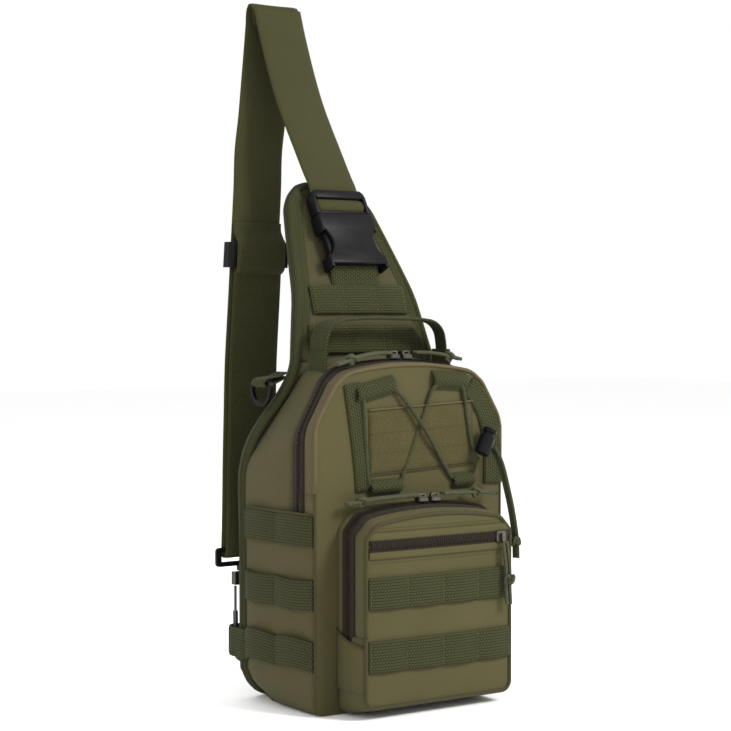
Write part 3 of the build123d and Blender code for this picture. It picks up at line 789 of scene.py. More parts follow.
def teeth(name, path, out, body, stands_for):
    """Coil elements across a zipper's path. out gives the surface's outward normal at each point."""
    pitch, reach, size = 2.0, 2.2, 0.62
    run = lengths(path)
    points, faces = [], []
    for k in range(int(run[-1] / pitch)):
        at = (k + 0.5) * pitch
        i = max(j for j, r in enumerate(run[:-1]) if r <= at)
        spot = path[i].lerp(path[i + 1], (at - run[i]) / max(1e-6, run[i + 1] - run[i]))
        ahead = (path[i + 1] - path[i]).normalized()
        normal = out(i).normalized()
        side = ahead.cross(normal).normalized()
        shift = side * (0.35 if k % 2 else -0.35)
        base = len(points)
        for across, rise, half in ((-1, -0.1, 0.7), (-0.72, 0.75, 1), (0, 1.05, 1.1), (0.72, 0.75, 1),
                                   (1, -0.1, 0.7)):
            middle = spot + shift + side * across * reach + normal * rise
            points += [middle - ahead * size * half, middle + normal * 0.35, middle + ahead * size * half]
        faces += [(base + 3 * i2 + a, base + 3 * i2 + a + 1, base + 3 * i2 + a + 4, base + 3 * i2 + a + 3)
                  for i2 in range(4) for a in (0, 1)]
    return piece(name, points, faces, COIL, body, stands_for)


def zipper_path(outline, y, low, drop=0.0):
    """The zipper's line round a compartment's top, above a height, and its outward normals."""
    loop = outline(y)
    path, outs = [], []
    for i, p in enumerate(loop):
        if p.y >= low:
            out = outward(loop, i)
            path.append(Vector((p.x + out.x * drop, y, p.y + out.y * drop)))
            outs.append(Vector((out.x, 0, out.y)))
    return path, outs


def zip_tape_rows(outline, y0, y1, low):
    """Rows of a zipper tape round a compartment, from its seam (y0) to its inner edge (y1)."""
    lift, seam = 0.2, 1.4
    rows = []
    for y, rise in ((y0, -seam if y0 < y1 else 0), (lerp(y0, y1, 0.2), 0.1), (lerp(y0, y1, 0.5), 0.35),
                    (lerp(y0, y1, 0.85), 0.35), (y1, 0.25)):
        rows.append(zipper_path(outline, y, low, lift + rise)[0])
    return [list(row) for row in zip(*rows)]


def zip_tape(name, rows, body, node):
    """One side's tape of a zipper."""
    cloth_grid(name, rows, ZIP_TAPE, body, [node], thick=0.9, uv=True)


def zip_coil(name, outline, y, low, body, node):
    """One side's coil along a zipper."""
    path, outs = zipper_path(outline, y, low, 0.7)
    teeth(name, smooth_path(path, 4), lambda i: outs[min(len(outs) - 1, (i + 2) // 4)], body, [node])


def bartack(name, places, body, along, out):
    """Dense zigzag tacks: each place is a point; along and out are unit vectors."""
    length, width, pitch = 22.0, 1.6, 0.8
    points, faces = [], []
    along, out = Vector(along).normalized(), Vector(out).normalized()
    side = along.cross(out)
    for place in places:
        place = Vector(place)
        count = int(length / pitch)
        for k in range(count):
            a = place + along * ((k / count - 0.5) * length) - side * width / 2 * (1 if k % 2 else -1)
            b = place + along * (((k + 0.9) / count - 0.5) * length) + side * width / 2 * (1 if k % 2 else -1)
            flat = (b - a).cross(out).normalized() * 0.32
            base = len(points)
            points += [a - flat, a + flat, b + flat, b - flat, (a + b) / 2 + out * 0.5 - flat,
                       (a + b) / 2 + out * 0.5 + flat]
            faces += [(base, base + 1, base + 5, base + 4), (base + 4, base + 5, base + 2, base + 3)]
    return piece(name, points, faces, THREAD, body)


def loops_wave(count, width, tack, rise):
    """Lift of load webbing above its panel: low at each tack and bowed between them."""
    made = []
    for k in range(count):
        at = k / (count - 1) * width
        t = (at % tack) / tack
        made.append(0.25 + rise * math.sin(math.pi * t) ** 0.75)
    return made


# ---------------------------------------------------------------- the two compartments
SEAM_DEPTH = 3.5  # how far the gusset runs into the padded back


def make_main():
    deep = [lerp(FRONT_Y, 60 + SEAM_DEPTH, k / 14) for k in range(15)]
    outer = belt(main_outline, deep, 1.6, lambda z: back_y(z) + SEAM_DEPTH)
    cut = next(i for i, row in enumerate(outer) if row[0].z > ZIP_END_Z + ROW_SLACK)
    wrap = next(i for i in range(cut, len(outer)) if outer[i][0].z <= ZIP_END_Z + ROW_SLACK)
    low = outer[wrap:] + outer[:cut]
    lower = cloth_grid("body_lower", low, CLOTH, "root", ["main_shell"])
    back = belt(main_outline, [lerp(ZIP_Y + TAPE, 60 + SEAM_DEPTH, k / 10) for k in range(11)], 1.2,
                lambda z: back_y(z) + SEAM_DEPTH, pinch=0.6)
    cloth_grid("body_upper", back[cut - 1 : wrap + 1], CLOTH, "root", ["main_shell"])
    strip = belt(main_outline, [lerp(FRONT_Y, ZIP_Y - TAPE, k / 4) for k in range(5)], 0.3, pinch=0.5)
    for k, part in enumerate((strip[cut - 1 :], strip[: wrap + 1])):
        sides = [row for row in part if ZIP_END_Z - 1 <= row[0].z <= FLAP_Z + ROW_SLACK]
        sides = [row for row in sides if (row[0].x < 0) == (k == 0)]
        cloth_grid(f"body_strip_{k}", sides, BAND, "root", ["main_shell"])
    gusset = [row for row in strip if row[0].z >= FLAP_Z - ROW_SLACK]
    cloth_grid("flap_gusset", gusset, BAND, "main_flap", ["front_flap"])

    half = half_outline(BODY_HALF, 232, 72, 272, 8, 34, 24, 0, MAIN_LEVELS)
    front = panel("front_panel", half, FRONT_Y, 2.6, CLOTH, None, ["main_shell", "front_flap"])
    inflate(front, 3.0, 2.4)
    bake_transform(front)

    edge = main_outline(FRONT_Y)
    edge_cord("front_piping", edge, FRONT_Y - 0.2, FLAP_Z, 300, 1.6, PIPING, "main_flap", ["flap_piping"])
    edge_cord("low_piping", edge, FRONT_Y - 0.1, 3, FLAP_Z, 1.1, DARK_PIPING, "root", ["main_piping"],
              cut=lambda p: p.y < 4 and abs(p.x) < 76)

    rear_rows = zip_tape_rows(main_outline, ZIP_Y + TAPE, ZIP_Y + HALF_ZIP_GAP, ZIP_END_Z)
    zip_tape("main_zip_rear_tape", rear_rows, "root", "main_zip_rear")
    front_rows = zip_tape_rows(main_outline, ZIP_Y - TAPE, ZIP_Y - HALF_ZIP_GAP, FLAP_Z)
    zip_tape("main_zip_front_tape", front_rows, "main_flap", "main_zip_front")
    ends = zip_tape_rows(main_outline, ZIP_Y - TAPE, ZIP_Y - HALF_ZIP_GAP, ZIP_END_Z)
    for k in (0, 1):
        side = [row for row in ends if row[0].z <= FLAP_Z + 1 and (row[0].x < 0) == (k == 0)]
        zip_tape(f"main_zip_end_{k}", side, "root", "main_zip_rear")
    for tag, shift, body, low_z, node in (("rear", COIL_SHIFT, "root", ZIP_END_Z + 2, "main_zip_rear"),
                                          ("front", -COIL_SHIFT, "main_flap", FLAP_Z, "main_zip_front")):
        zip_coil(f"main_coil_{tag}", main_outline, ZIP_Y + shift, low_z, body, node)
    return lower, front


def make_pocket():
    depths = [lerp(POCKET_Y, FRONT_Y - 0.5, k / 8) for k in range(9)]
    outer = belt(pocket_outline, depths, 1.4)
    cut = next(i for i, row in enumerate(outer) if row[0].z > POCKET_FOLD_Z - ROW_SLACK)
    wrap = next(i for i in range(cut, len(outer)) if outer[i][0].z <= POCKET_FOLD_Z - ROW_SLACK)
    cloth_grid("pocket_lower", outer[wrap - 1 :] + outer[: cut + 1], CLOTH, "root", ["pocket_rear"])
    rear = belt(pocket_outline, [lerp(POCKET_ZIP_Y + TAPE, FRONT_Y - 0.5, k / 4) for k in range(5)], 0.5,
                pinch=0.5)
    cloth_grid("pocket_rear_gusset", rear[cut : wrap], CLOTH, "root", ["pocket_rear"])
    near = belt(pocket_outline, [lerp(POCKET_Y, POCKET_ZIP_Y - TAPE, k / 5) for k in range(6)], 0.6,
                pinch=0.5)
    cloth_grid("pocket_front_gusset", near[cut : wrap], CLOTH, "pocket_flap", ["pocket_flap"])

    for tag, sign in (("left", -1), ("right", 1)):
        rows = []
        for k in range(9):
            v = k / 8
            row = []
            for j in range(13):
                u = j / 12
                bow = 1.5 * math.sin(math.pi * u) ** 0.8 + (1.0 if 0 < j < 12 else 0.4)
                z = lerp(22, lerp(59, 70, u), v) + (2.4 * math.sin(math.pi * u) * -v)
                row.append(Vector((sign * (POCKET_HALF + bow), lerp(POCKET_Y + 0.6, FRONT_Y - 0.6, u), z)))
            rows.append(row)
        cloth_grid(f"pocket_side_patch_{tag}", rows, CLOTH, "root", ["pocket_rear"], thick=0.8)
        hem = [p + Vector((sign * 0.3, 0, 0)) for p in rows[-1]]
        tube(f"pocket_patch_hem_{tag}", hem, 0.7, DARK_PIPING, "root", ["pocket_rear"], sides=8)

    half = half_outline(POCKET_HALF, 143, 64, 155, 6, 8, 10, 9, POCKET_LEVELS)
    front = panel("pocket_front", half, POCKET_Y, 3.2, CLOTH, None, ["pocket_rear", "pocket_flap"])
    inflate(front, 4.0, 2.6)
    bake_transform(front)

    edge = pocket_outline(POCKET_Y)
    edge_cord("pocket_piping_top", edge, POCKET_Y - 0.3, POCKET_FOLD_Z, 200, 1.7, DARK_PIPING, "pocket_flap",
              ["pocket_piping_upper"])
    edge_cord("pocket_piping_low", edge[len(edge) // 2 :] + edge[: len(edge) // 2], POCKET_Y - 0.3, -5,
              POCKET_FOLD_Z, 1.7, DARK_PIPING, "root", ["pocket_piping_lower"])

    for name, y0, y1, body, node in (
            ("pocket_zip_rear_tape", POCKET_ZIP_Y + TAPE, POCKET_ZIP_Y + HALF_ZIP_GAP, "root",
             "pocket_zip_rear"),
            ("pocket_zip_front_tape", POCKET_ZIP_Y - TAPE, POCKET_ZIP_Y - HALF_ZIP_GAP, "pocket_flap",
             "pocket_zip_front")):
        rows = zip_tape_rows(pocket_outline, y0, y1, POCKET_FOLD_Z - 9)
        zip_tape(name, rows, body, node)
    for tag, shift, body, node in (("rear", COIL_SHIFT, "root", "pocket_zip_rear"),
                                   ("front", -COIL_SHIFT, "pocket_flap", "pocket_zip_front")):
        zip_coil(f"pocket_coil_{tag}", pocket_outline, POCKET_ZIP_Y + shift, POCKET_FOLD_Z, body, node)
    return front


# ---------------------------------------------------------------- webbing and trim on the panels
def make_front_trim(skin):
    into = (0, 1, 0)
    uprights = (("left", 16, [(-50, 178), (-52, 200), (-55, 225), (-58.5, 248), (-61, 265)]),
                ("right", 19, [(86, 178), (86.5, 200), (84.5, 220), (79, 238), (70, 252), (60, 261)]))
    for tag, width, places in uprights:
        line = smooth_path([(x, FRONT_Y, z) for x, z in places], 6)
        path = skin.row(line, into, 1.1, (width / 2 - 1, 0, 0))
        across = [Vector((t.z, 0, -t.x)).normalized() for t in tangents(path)]
        tape(f"upright_{tag}", path, across, width, 1.7, WEBBING, "main_flap", ["front_webbing"], cup=0.3)
        for k, edge in enumerate((1.6 - width / 2, width / 2 - 1.6)):
            seam = [p + side * edge + Vector((0, -1.05, 0)) for p, side in zip(path, across)]
            stitches(f"upright_{tag}_seam_{k}", [(seam, Vector((0, -1, 0)))], "main_flap")
    rows = []
    slope = 5
    for j in range(25):
        z = lerp(191, 243, j / 24)
        row = skin.row(row_points((-45, FRONT_Y, z), (65, FRONT_Y, z + slope), 49), into, 1.5)
        rim = min(j, 24 - j, 2) / 2
        rows.append([p + Vector((0, 1.2 * (1 - min(rim, min(k, 48 - k, 2) / 2))
                                 + 0.35 * noise.noise(p / 1.3), 0)) for k, p in enumerate(row)])
    field = cloth_grid("loop_field", rows, PILE, "main_flap", ["loop_panel"], thick=1.3)
    modify(field, "SUBSURF", levels=1, render_levels=1)
    lines = []
    for z in (224, 208):
        lines.append((skin.row(row_points((-44, FRONT_Y, z), (64, FRONT_Y, z + slope), 30), into, 1.55),
                      Vector((0, -1, 0))))
    for x, rise in ((-43.7, 0), (63.7, slope)):
        lines.append((skin.row(row_points((x, FRONT_Y, 192 + rise), (x, FRONT_Y, 242 + rise), 20), into, 1.7),
                      Vector((0, -1, 0))))
    stitches("loop_field_stitches", lines, "main_flap")
    for tag, z in (("top", 243.2), ("bottom", 190.6)):
        line = skin.row(row_points((-45, FRONT_Y, z), (65, FRONT_Y, z + slope), 30), into, 1.2)
        tube(f"loop_field_{tag}", line, 0.75 if tag == "top" else 0.6,
             PIPING if tag == "top" else DARK_PIPING,
             "main_flap", ["loop_panel"], sides=8)

    for k, (x0, x1, z0, slant) in enumerate(((-58, -19, 253, 12), (21, 58, 259, -3), (-45, -13, 175, 1),
                                             (41, 64, 177, 2))):
        middle = (x0 + x1) / 2
        low_edge = 1 if z0 > 220 else -1
        path = []
        tall = 14.5 if low_edge > 0 else 12
        for t in range(17):
            u = t / 16
            along = (u if low_edge < 0 else 1 - u) * 1.25 - 0.12
            bow = math.sin(math.pi * min(1, max(0, along))) ** 0.8 * 4.6
            z = lerp(z0 - 1, z0 + tall, u)
            spot = skin.on((middle, FRONT_Y, z), into, 0.9)
            path.append(spot - Vector((0, bow, 0)))
        across = Vector((math.cos(math.radians(slant)), 0, math.sin(math.radians(slant))))
        tape(f"cord_sleeve_{k}", path, across, x1 - x0, 1.5, WEBBING, "main_flap", ["cord_sleeves"],
             columns=14)

    y = LACE_Y
    lace = [(64, y - 5, 203), (61, y - 1, 214), (57, y, 236), (53.6, y, 256), (49, y, 262), (28, y, 263),
            (20, y, 258), (14, y, 245), (6, y, 228), (-9, y, 194), (-15, y, 184.5), (-41, y, 183),
            (-46, y, 188),
            (-49, y, 222), (-50.8, y, 255), (-46, y, 262), (-26, y, 263), (-17, y - 0.8, 258),
            (-2, y - 3.8, 240),
            (13, y - 4.0, 221), (36, y - 1, 190), (44, y, 184), (59, y, 184), (64, y - 1, 188),
            (65.5, y - 5, 201)]
    tube("lacing_cord", smooth_path(lace, 6), 1.7, ELASTIC, "main_flap", ["lacing"], sides=12)


def make_pocket_trim(skin):
    into = (0, 1, 0)
    for tag, z, body, node in (("upper", 100.5, "pocket_flap", "pocket_webbing_upper"),
                               ("lower", 50.5, "root", "pocket_webbing_lower")):
        base = skin.row(row_points((-73, POCKET_Y, z), (73, POCKET_Y, z), 93), into, 0.9, (0, 0, 9))
        lift = loops_wave(93, 146, 36.5, 1.5)
        path = [p - Vector((0, rise, 0)) for p, rise in zip(base, lift)]
        tape(f"pocket_webbing_{tag}", path, Vector((0, 0, 1)), WEB_WIDTH, WEB_THICK, WEBBING, body, [node],
             cup=-0.3)
        tacks = [min(path, key=lambda p: abs(p.x - x)) - Vector((0, 0.8, 0)) for x in POCKET_TACKS]
        bartack(f"pocket_tacks_{tag}", tacks, body, (0, 0, 1), (0, -1, 0))
    half = FRONT_ZIP_Z
    lines = []
    for z in (half + 11.4, half + 13.6, half - 11.4, half - 13.6):
        lines.append((skin.row(row_points((-71, POCKET_Y, z), (71, POCKET_Y, z), 40), into, 0.15),
                      Vector((0, -1, 0))))
    stitches("front_zip_stitches", lines, "pocket_flap")
    for tag, sign in (("top", 1), ("bottom", -1)):
        rows = []
        for z, lift in ((10.6, 0.2), (10.0, 1.3), (4.6, 1.5), (3.9, 0.7), (0.9, 0.9)):
            row = row_points((-72, POCKET_Y, half + sign * z), (72, POCKET_Y, half + sign * z), 49)
            rows.append(skin.row(row, into, lift))
        seam = cloth_grid(f"front_zip_fold_{tag}", rows[:3], CLOTH, "pocket_flap", ["pocket_flap"], thick=1.0)
        modify(seam, "BEVEL", width=0.0003, segments=1)
        cloth_grid(f"front_zip_tape_{tag}", rows[2:], ZIP_TAPE, "pocket_flap", ["front_zip"],
                   thick=0.7)
    for tag, shift in (("top", COIL_SHIFT), ("bottom", -COIL_SHIFT)):
        path = skin.row(row_points((-70, POCKET_Y, half + shift), (70, POCKET_Y, half + shift), 50), into,
                        1.2)
        teeth(f"front_coil_{tag}", path, lambda i: Vector((0, -1, 0)), "pocket_flap", ["front_zip"])


def make_side_trim(skin):
    for tag, sign in (("left", -1), ("right", 1)):
        into = (-sign, 0, 0)
        for k, (z, rise, drift) in enumerate(((147.5, 2.6, 0.6), (97.5, 3.2, -1.2), (47.5, 4.2, 2.6))):
            base = skin.row(row_points((sign * BODY_HALF, -42.5, z), (sign * BODY_HALF, 54, z), 61), into,
                            0.8, (0, 0, 9))
            lift = loops_wave(61, 96.5, 48.25, rise)
            path = [p + Vector((sign * up, 0, drift * up / rise)) for p, up in zip(base, lift)]
            tape(f"side_webbing_{tag}_{k}", path, Vector((0, 0, 1)), WEB_WIDTH, WEB_THICK, WEBBING, "root",
                 [f"side_webbing_{tag}"])
            tacks = [min(path, key=lambda p: abs(p.y - y)) + Vector((sign * 0.8, 0, 0)) for y in SIDE_TACKS]
            bartack(f"side_tacks_{tag}_{k}", tacks, "root", (0, 0, 1), (sign, 0, 0))


# ---------------------------------------------------------------- padded back and shoulder panel
# Half width of the padded back and shoulder panel at rising heights.
PANEL_HALF = [(60, 2), (76, 5), (86, 12), (92, 22), (94.5, 36), (95, 120), (96, 198), (92, 224), (79, 252),
              (73, 275), (69, 297), (58, 350), (46, 400), (41, 415), (31, 427), (20, 431), (8, 432)]
PANEL_EDGE = [(p.x, p.y) for p in smooth_path([(w, z, 0) for w, z in PANEL_HALF], 6)]


def half_width(z):
    for (w0, z0), (w1, z1) in zip(PANEL_EDGE, PANEL_EDGE[1:]):
        if z <= z1:
            return lerp(w0, w1, (z - z0) / (z1 - z0))
    return PANEL_EDGE[-1][0]


def back_point(x, z, deep):
    return Vector((x, back_y(z), z)) + back_normal(z) * deep


def binding(name, path, radius, sides, flat):
    """Folded tape over an edge, as a flattened tube."""
    points, faces = tube_mesh(path, radius, sides, flat, Vector((0, 1, 0)))
    run = lengths(path)
    uvs = [(run[i], 2.3 * k) for i in range(len(path)) for k in range(sides)]
    piece(name, points, faces, BINDING, "root", ["back_binding"], uvs)


PAD_TOP = 431.4
QUILT_SEAMS = (70, 150, 230, 300, 365)
BINDING_INSET = 1.2
MESH_DEPTH = 5.2  # faces deeper than this show the air mesh


def make_back():
    """The padded back and shoulder panel, with its binding."""
    levels = [3, 5, 8, 12, 18, 26] + [26 + 8 * k for k in range(1, 49)] + [414, 418, 422, 425, 428, 430,
                                                                           PAD_TOP]
    rings, sides = [], 26
    for z in sorted(set(min(v, PAD_TOP) for v in levels)):
        half = half_width(z) - 2.0
        ring = []
        for k in range(2 * sides):
            u = 2 * (k % sides + 0.5) / sides - 1
            front = k < sides
            u = u if front else -u
            swell = (1 - abs(u) ** 4)
            puff = 2.0 * swell * min(1, (432 - z) / 14)
            if front:
                deep = PAD_DEPTH - (4.2 + (puff * 0.7 if z > 300 else 0)) * (1 - abs(u) ** 10) ** 0.5
            else:
                channel = 1.9 * math.exp(-(u / 0.07) ** 2) if z < 270 else 0
                channel += sum(1.6 * math.exp(-((z - seam) / 4) ** 2) for seam in QUILT_SEAMS)
                deep = PAD_DEPTH + (4.4 + puff - channel * swell) * (1 - abs(u) ** 10) ** 0.5
            wave = ripple((u * half, 5 * front, z), 0.5, 30)
            ring.append(back_point(u * half, z, deep) + Vector((0, wave, 0)))
        rings.append(ring)
    points = [p for ring in rings for p in ring]
    count = 2 * sides
    faces = tube_faces(len(rings), count)
    pad = piece("back_pad", points, faces, SHOULDER_CLOTH, "root",
                ["back_lining", "back_foam", "back_cover", "shoulder_foam", "shoulder_front_cover"])
    pad.data.materials.append(AIR_MESH)
    for face in pad.data.polygons:
        z = face.center.z / MM
        behind = Vector((0, face.center.y / MM - back_y(z), 0)).dot(back_normal(z)) > MESH_DEPTH
        face.material_index = 1 if behind else 0
    modify(pad, "SUBSURF", levels=1, render_levels=1)

    edge = [(BINDING_INSET - w, 0, z) for w, z in PANEL_HALF if z < 432]
    smooth = smooth_path(edge + [(0, 0, 431.5)] + [(-x, 0, z) for x, _, z in reversed(edge)], 6)
    binding("edge_binding", [back_point(p.x, p.z, PAD_DEPTH) for p in smooth], 3.5, 14, 1.72)
    lines = []
    for side in (-1, 1):
        rows = [back_point(side * (half_width(z) - 6.6), z, -0.9) for z in range(288, 424, 3)]
        lines.append((rows, Vector((0, -1, 0.4))))
    stitches("edge_stitches", lines, "root")
    binding("bottom_binding", [back_point(lerp(-71, 71, k / 20), 3, PAD_DEPTH) for k in range(21)], 3.0, 12,
            1.7)
    return pad


def make_shoulder_webbing(skin):
    for k, z in enumerate((300.0, 332.5)):
        out = -back_normal(z)
        up = Vector((0, out.z, -out.y))
        up = up if up.z > 0 else -up
        half = half_width(z + 12) - 9.5
        base = [back_point(lerp(-half, half, i / 60), z, 0) for i in range(61)]
        base = skin.row(base, -out, 0.9, up * 10)
        lift = loops_wave(61, 2 * half, half * 2 / 3, 1.5)
        path = [p + out * rise for p, rise in zip(base, lift)]
        tape(f"shoulder_webbing_{k}", path, up, WEB_WIDTH, WEB_THICK, WEBBING, "root", ["shoulder_webbing"],
             cup=-0.2)
        spots = [path[i] + out * 0.9 for i in (2, 20, 40, 58)]
        bartack(f"shoulder_tacks_{k}", spots, "root", up, out)
    for tag, side in (("left", -1), ("right", 1)):
        levels = list(range(282, 421, 6)) + [424.5]
        path = [skin.on(back_point(side * (half_width(z) - 6.8), z, 0), back_normal(z), 0.8) for z in levels]
        across = [t.cross(back_normal(z)).normalized() * -side for t, z in zip(tangents(path), levels)]
        tape(f"front_binding_{tag}", path, across, 11.5, 1.1, BINDING, "root", ["back_binding"], cup=0.2)
        for k, edge in enumerate((-4.6, 3.4)):
            seam = [p + turn * edge - back_normal(z) * 0.9 for p, turn, z in zip(path, across, levels)]
            stitches(f"front_binding_{tag}_seam_{k}", [(smooth_path(seam, 4), Vector((0, -1, 0.4)))], "root")


# ---------------------------------------------------------------- strap, handle and loops
def make_strap():
    fold = [(-12, 131.2, 574), (-12, 132.6, 584), (-12, 134.4, 590), (-12, 137, 592.2), (-12, 139.8, 590.4),
            (-12.6, 141.3, 585)]
    rear = fold + [(-14, 140.6, 570), (-20, 137.6, 528), (-27.5, 133.8, 482), (-32.5, 130.2, 444),
                   (-39, 124.5, 400),
                   (-46.5, 118.6, 338), (-54, 112.8, 280), (-60, 105.5, 238), (-66, 98, 195),
                   (-73, 88.4, 154),
                   (-79, 80.5, 124), (-80, 78.6, 118.4), (-80, 76.2, 116.9), (-80, 74.4, 118.4)]
    path = smooth_path(rear, 8)
    swayed = []
    for p in path:
        sag = 1.6 * math.sin(p.z / 17.0) * math.exp(-((p.z - 470) / 34) ** 2)
        swayed.append(p + Vector((0, sag, 0)))
    tape("strap_back_run", swayed, Vector((1, 0, 0)), STRAP_WIDTH, STRAP_THICK, STRAP_CLOTH, "root",
         ["strap_rear"],
         columns=14, cup=0.5)

    front = smooth_path([(-12, 131, 589), (-10.6, 123.5, 562), (-8.4, 111.6, 526), (-6, 100.6, 498),
                         (-3, 82.5, 463),
                         (-1, 71, 441), (0, 65.4, 431), (0, 60.6, 421)], 8)
    front_strap = tape("strap_front_run", front, Vector((1, 0, 0)), STRAP_WIDTH, STRAP_THICK, STRAP_CLOTH,
                       None, ["strap_front"],
                       columns=14, cup=0.4)
    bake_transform(front_strap)

    gap = -6.2
    back = smooth_path([(-42.7, 121.6 + gap, 369), (-46.5, 118.6 + gap, 338), (-54, 112.8 + gap, 280),
                        (-60, 105.5 + gap, 238), (-66, 98 + gap, 195), (-73, 88.6 + gap, 154),
                        (-79, 80.8 + gap, 125), (-80, 74.4, 118.4)], 8)
    layer = tape("strap_under_run", back, Vector((1, 0, 0)), 49, 2.0, STRAP_CLOTH, "root", ["strap_return"],
                 columns=14, cup=-0.3)
    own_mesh(layer)
    over = [(-38.6, 122.9, 400), (-39.4, 121.4, 393), (-40.2, 116.8, 387), (-40.9, 112.6, 382),
            (-42.2, 111.0, 371),
            (-43.5, 109.9, 361), (-44.0, 111.6, 357.4), (-44.2, 114.4, 355.6)]
    tape("glide_wrap", smooth_path(over, 5), Vector((1, 0, 0)), 50, 2.0, STRAP_CLOTH, "tri_glide", [],
         columns=14, cup=0.3)
    sewn = [Vector((-39.2 + x, 120.9, 395 + 0.06 * x)) for x in range(-23, 24)]
    stitches("glide_stitches", [(sewn, Vector((0, -1, 0)))], "tri_glide")


def make_handle():
    path = smooth_path([(-62.0, -2, 287), (-62.2, -2, 294), (-60.6, -2, 303), (-55, -2, 311.6),
                        (-43, -2, 315.4), (-20, -2, 316.8), (0, -2, 317), (20, -2, 316.6), (44, -2, 315.8),
                        (56, -2, 313.2), (63.4, -2, 306), (66, -2, 295), (66.4, -2, 287)], 6)
    widths = []
    for p in path:
        fold = max(0.0, 1 - (abs(p.x) / 50) ** 4)
        widths.append(25 - 12 * fold)
    across = [Vector((0.34 * min(1, max(0, p.x / 45)), 1, 0)).normalized() for p in path]
    tape("grab_handle_web", path, across, widths, 2.6, WEBBING, "grab_handle",
         ["grab_handle"], columns=12, cup=0.6)
    for tag, sign in (("left", -1), ("right", 1)):
        foot = 66.8 if sign > 0 else 63.4
        leg = smooth_path([(sign * foot, -2, 268), (sign * foot, -2, 276), (sign * (foot - 0.8), -2, 291)], 5)
        tape(f"handle_root_{tag}", leg, Vector((0, 1, 0)), 24, 3.6, WEBBING, "root", ["handle_tabs"])


def make_loops():
    ring_path = smooth_path([(-73, 36, 272.5), (-80, 36, 269.5), (-88, 36, 268.4), (-94, 36, 267.6),
                             (-96.6, 36, 264.2),
                             (-94, 36, 261.2), (-88, 36, 262.6), (-80, 36, 265.8), (-73, 36, 269)], 6)
    tape("ring_tab_web", ring_path, Vector((0, 1, 0)), 19, 1.5, WEBBING, "root", ["ring_tab"], columns=8)
    loop_path = smooth_path([(-97.6, 49, 46.5), (-99.0, 56, 46.5), (-98.4, 66, 46.5), (-97.8, 74, 46.5),
                             (-95, 81.6, 46.5), (-87.6, 85, 46.5), (-80.2, 81.6, 46.5), (-77.2, 74, 46.5),
                             (-77, 68.4, 46.5)], 8)
    tape("corner_loop", loop_path, Vector((0, 0, 1)), 25, 1.9, WEBBING, "root", ["hook_loop"], columns=10)
    base, up, out = buckle_frame()
    tab = [base + up * u + out * o for u, o in ((-45, 0.9), (-41, 1.6), (-36, 3.6), (-30, 6.0), (-24, 7.4),
                                                (-12, 7.6))]
    tape("buckle_tab_web", smooth_path(tab, 5), Vector((1, 0, 0)), 50, 1.9, WEBBING, "root", ["buckle_tab"],
         columns=12)


# ---------------------------------------------------------------- buckle
BUCKLE_Z = 384


def buckle_frame():
    """The shoulder panel's plane at the buckle: its origin, and the unit vectors up and out."""
    out = -back_normal(BUCKLE_Z)
    up = Vector((0, -out.z, out.y))
    return back_point(0, BUCKLE_Z, 0), up if up.z > 0 else -up, out


def moulded(name, outline, near, far, body, stands_for, bevel=1.2):
    """A moulded plate: an outline in (x, up), between two heights over the panel."""
    base, up, out = buckle_frame()
    count = len(outline)
    points = [base + Vector((x, 0, 0)) + up * u + out * near for x, u in outline]
    points += [base + Vector((x, 0, 0)) + up * u + out * far for x, u in outline]
    faces = [(i, (i + 1) % count, (i + 1) % count + count, i + count) for i in range(count)]
    faces += [tuple(range(count)), tuple(reversed(range(count, 2 * count)))]
    obj = piece(name, points, faces, BLACK, body, stands_for)
    modify(obj, "BEVEL", width=bevel * MM, segments=3, limit_method="ANGLE", angle_limit=math.radians(50))
    return obj


def mirrored(points):
    return points + [(-x, u) for x, u in reversed(points)]


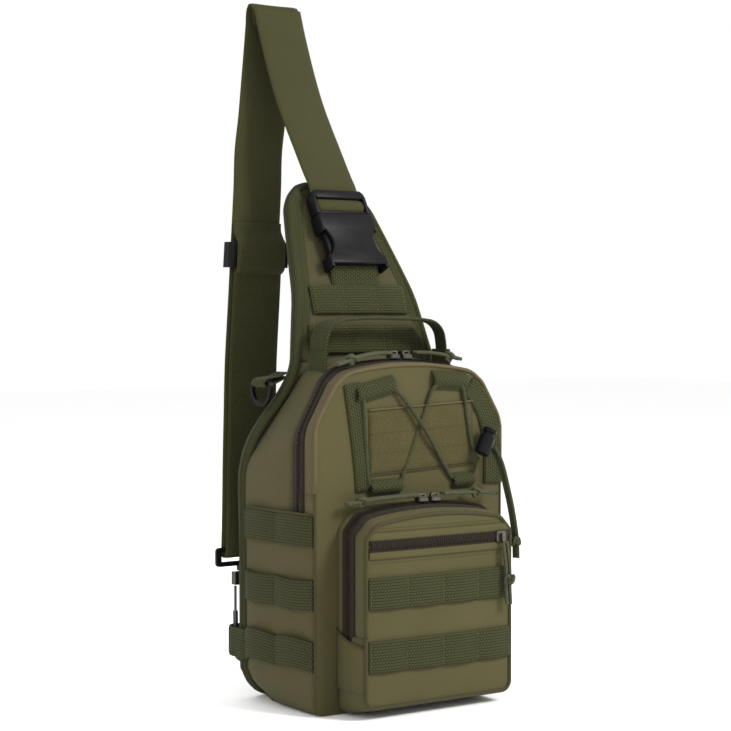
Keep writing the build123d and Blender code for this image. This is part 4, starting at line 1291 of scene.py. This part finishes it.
def make_buckle():
    notch = [(29.5, -31), (30, -28), (29.4, -25)]
    notch += [(lerp(29.0, 21.6, math.sin(math.pi * k / 12) ** 0.9), lerp(-24, 5, k / 12)) for k in range(13)]
    notch += [(28.7, 7), (28.4, 12), (28.2, 17.2)]
    moulded("buckle_female_face", mirrored(notch), 12.6, 16.0, "root", ["buckle_female"])
    moulded("buckle_female_rear", mirrored(notch), 2.4, 5.6, "root", ["buckle_female"])
    for tag, side in (("left", -1), ("right", 1)):
        for part, low, high in (("foot", -34, -22.5), ("cheek", 0.4, 16.8)):
            x0, x1 = (26.8, 30) if part == "foot" else (26.4, 28.6)
            wall = [(side * x0, low), (side * x1, low), (side * x1, high), (side * x0, high)]
            moulded(f"buckle_female_{part}_{tag}", wall, 2.6, 15.8, "root", ["buckle_female"], 0.8)
    moulded("buckle_female_sill", [(-27, -29), (27, -29), (27, -25.5), (-27, -25.5)], 2.6, 15.4, "root",
            ["buckle_female"], 0.8)
    for tag, side in (("left", -1), ("right", 1)):
        rail = [(side * 28, 17.6), (side * 28, 34), (side * 27, 37.6), (side * 24.6, 40.2), (side * 22, 41),
                (side * 21, 38), (side * 24.6, 33), (side * 24.8, 17.6)]
        moulded(f"buckle_male_rail_{tag}", rail, 3.4, 15, "buckle_male", ["buckle_male"], 0.9)
        arm = [(side * 25.8, 0.8), (side * 25.9, -8), (side * 26, -20), (side * 24, -23), (side * 20, -21),
               (side * 20.4, -8), (side * 19.4, 0.8)]
        moulded(f"buckle_arm_{tag}", arm, 6, 12.4, f"prong_{tag}", [f"buckle_prong_{tag}"], 0.9)
    bars = (("top", 33, 41, 4.2, 15, 24), ("middle", 25, 28.6, 5.4, 9.5, 25.4),
            ("sill", 17.6, 20.6, 3.6, 14.6, 25.4))
    for tag, low, high, near, far, half in bars:
        moulded(f"buckle_male_{tag}", [(-half, low), (half, low), (half, high), (-half, high)], near, far,
                "buckle_male", ["buckle_male"], 1.2)
    moulded("buckle_male_core", [(-24.6, 2.4), (24.6, 2.4), (24.6, 18), (-24.6, 18)], 6.2, 12.2,
            "buckle_male",
            ["buckle_male"], 0.8)
    moulded("buckle_male_guide", [(-4, -19), (4, -19), (4, 3), (-4, 3)], 6.2, 12.2, "buckle_male",
            ["buckle_male"])
    base, up, out = buckle_frame()
    wrap = [base + up * u + out * o for u, o in ((33.6, 7), (32.6, 10.6), (30.2, 12.6), (27, 13.2),
                                                 (23.8, 12.6),
                                                 (21.6, 10.4), (21, 7.4))]
    tape("strap_wrap", smooth_path(wrap, 5), Vector((1, 0, 0)), 49, 2.0, STRAP_CLOTH, "buckle_male",
         ["strap_front"],
         columns=12)


# ---------------------------------------------------------------- hard parts keep their CAD shape
HARD = {
    "tri_glide": "BLACK", "cord_lock_body": "BLACK", "cord_lock_button": "BLACK",
    "cord_lock_spring": "STEEL", "hook_frame": "BLACK", "hook_body": "DARK_STEEL", "hook_gate": "DARK_STEEL",
    "side_ring": "BLACK", "drain_grommet": "STEEL", "main_slider_left": "STEEL", "main_slider_right": "STEEL",
    "pocket_slider_left": "STEEL", "pocket_slider_right": "STEEL", "front_zip_slider": "STEEL",
}


def finish_hard_parts():
    finishes = {"BLACK": BLACK, "STEEL": STEEL, "DARK_STEEL": DARK_STEEL}
    for name, finish in HARD.items():
        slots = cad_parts[name].material_slots
        for entry in slots:
            entry.material = finishes[finish]


SHOULDER_CLOTH = pack_cloth("shoulder_cloth", (0.052, 0.046, 0.018), 0.0016, 0.18)

make_camera()
make_studio()
make_cords()
main_lower, main_front = make_main()
pocket_face = make_pocket()
pad = make_back()
bpy.context.view_layer.update()
make_front_trim(Skin(main_front))
make_pocket_trim(Skin(pocket_face))
make_side_trim(Skin(main_lower))
make_shoulder_webbing(Skin(pad))
make_strap()
make_handle()
make_loops()
make_buckle()
finish_hard_parts()

bpy.context.view_layer.update()
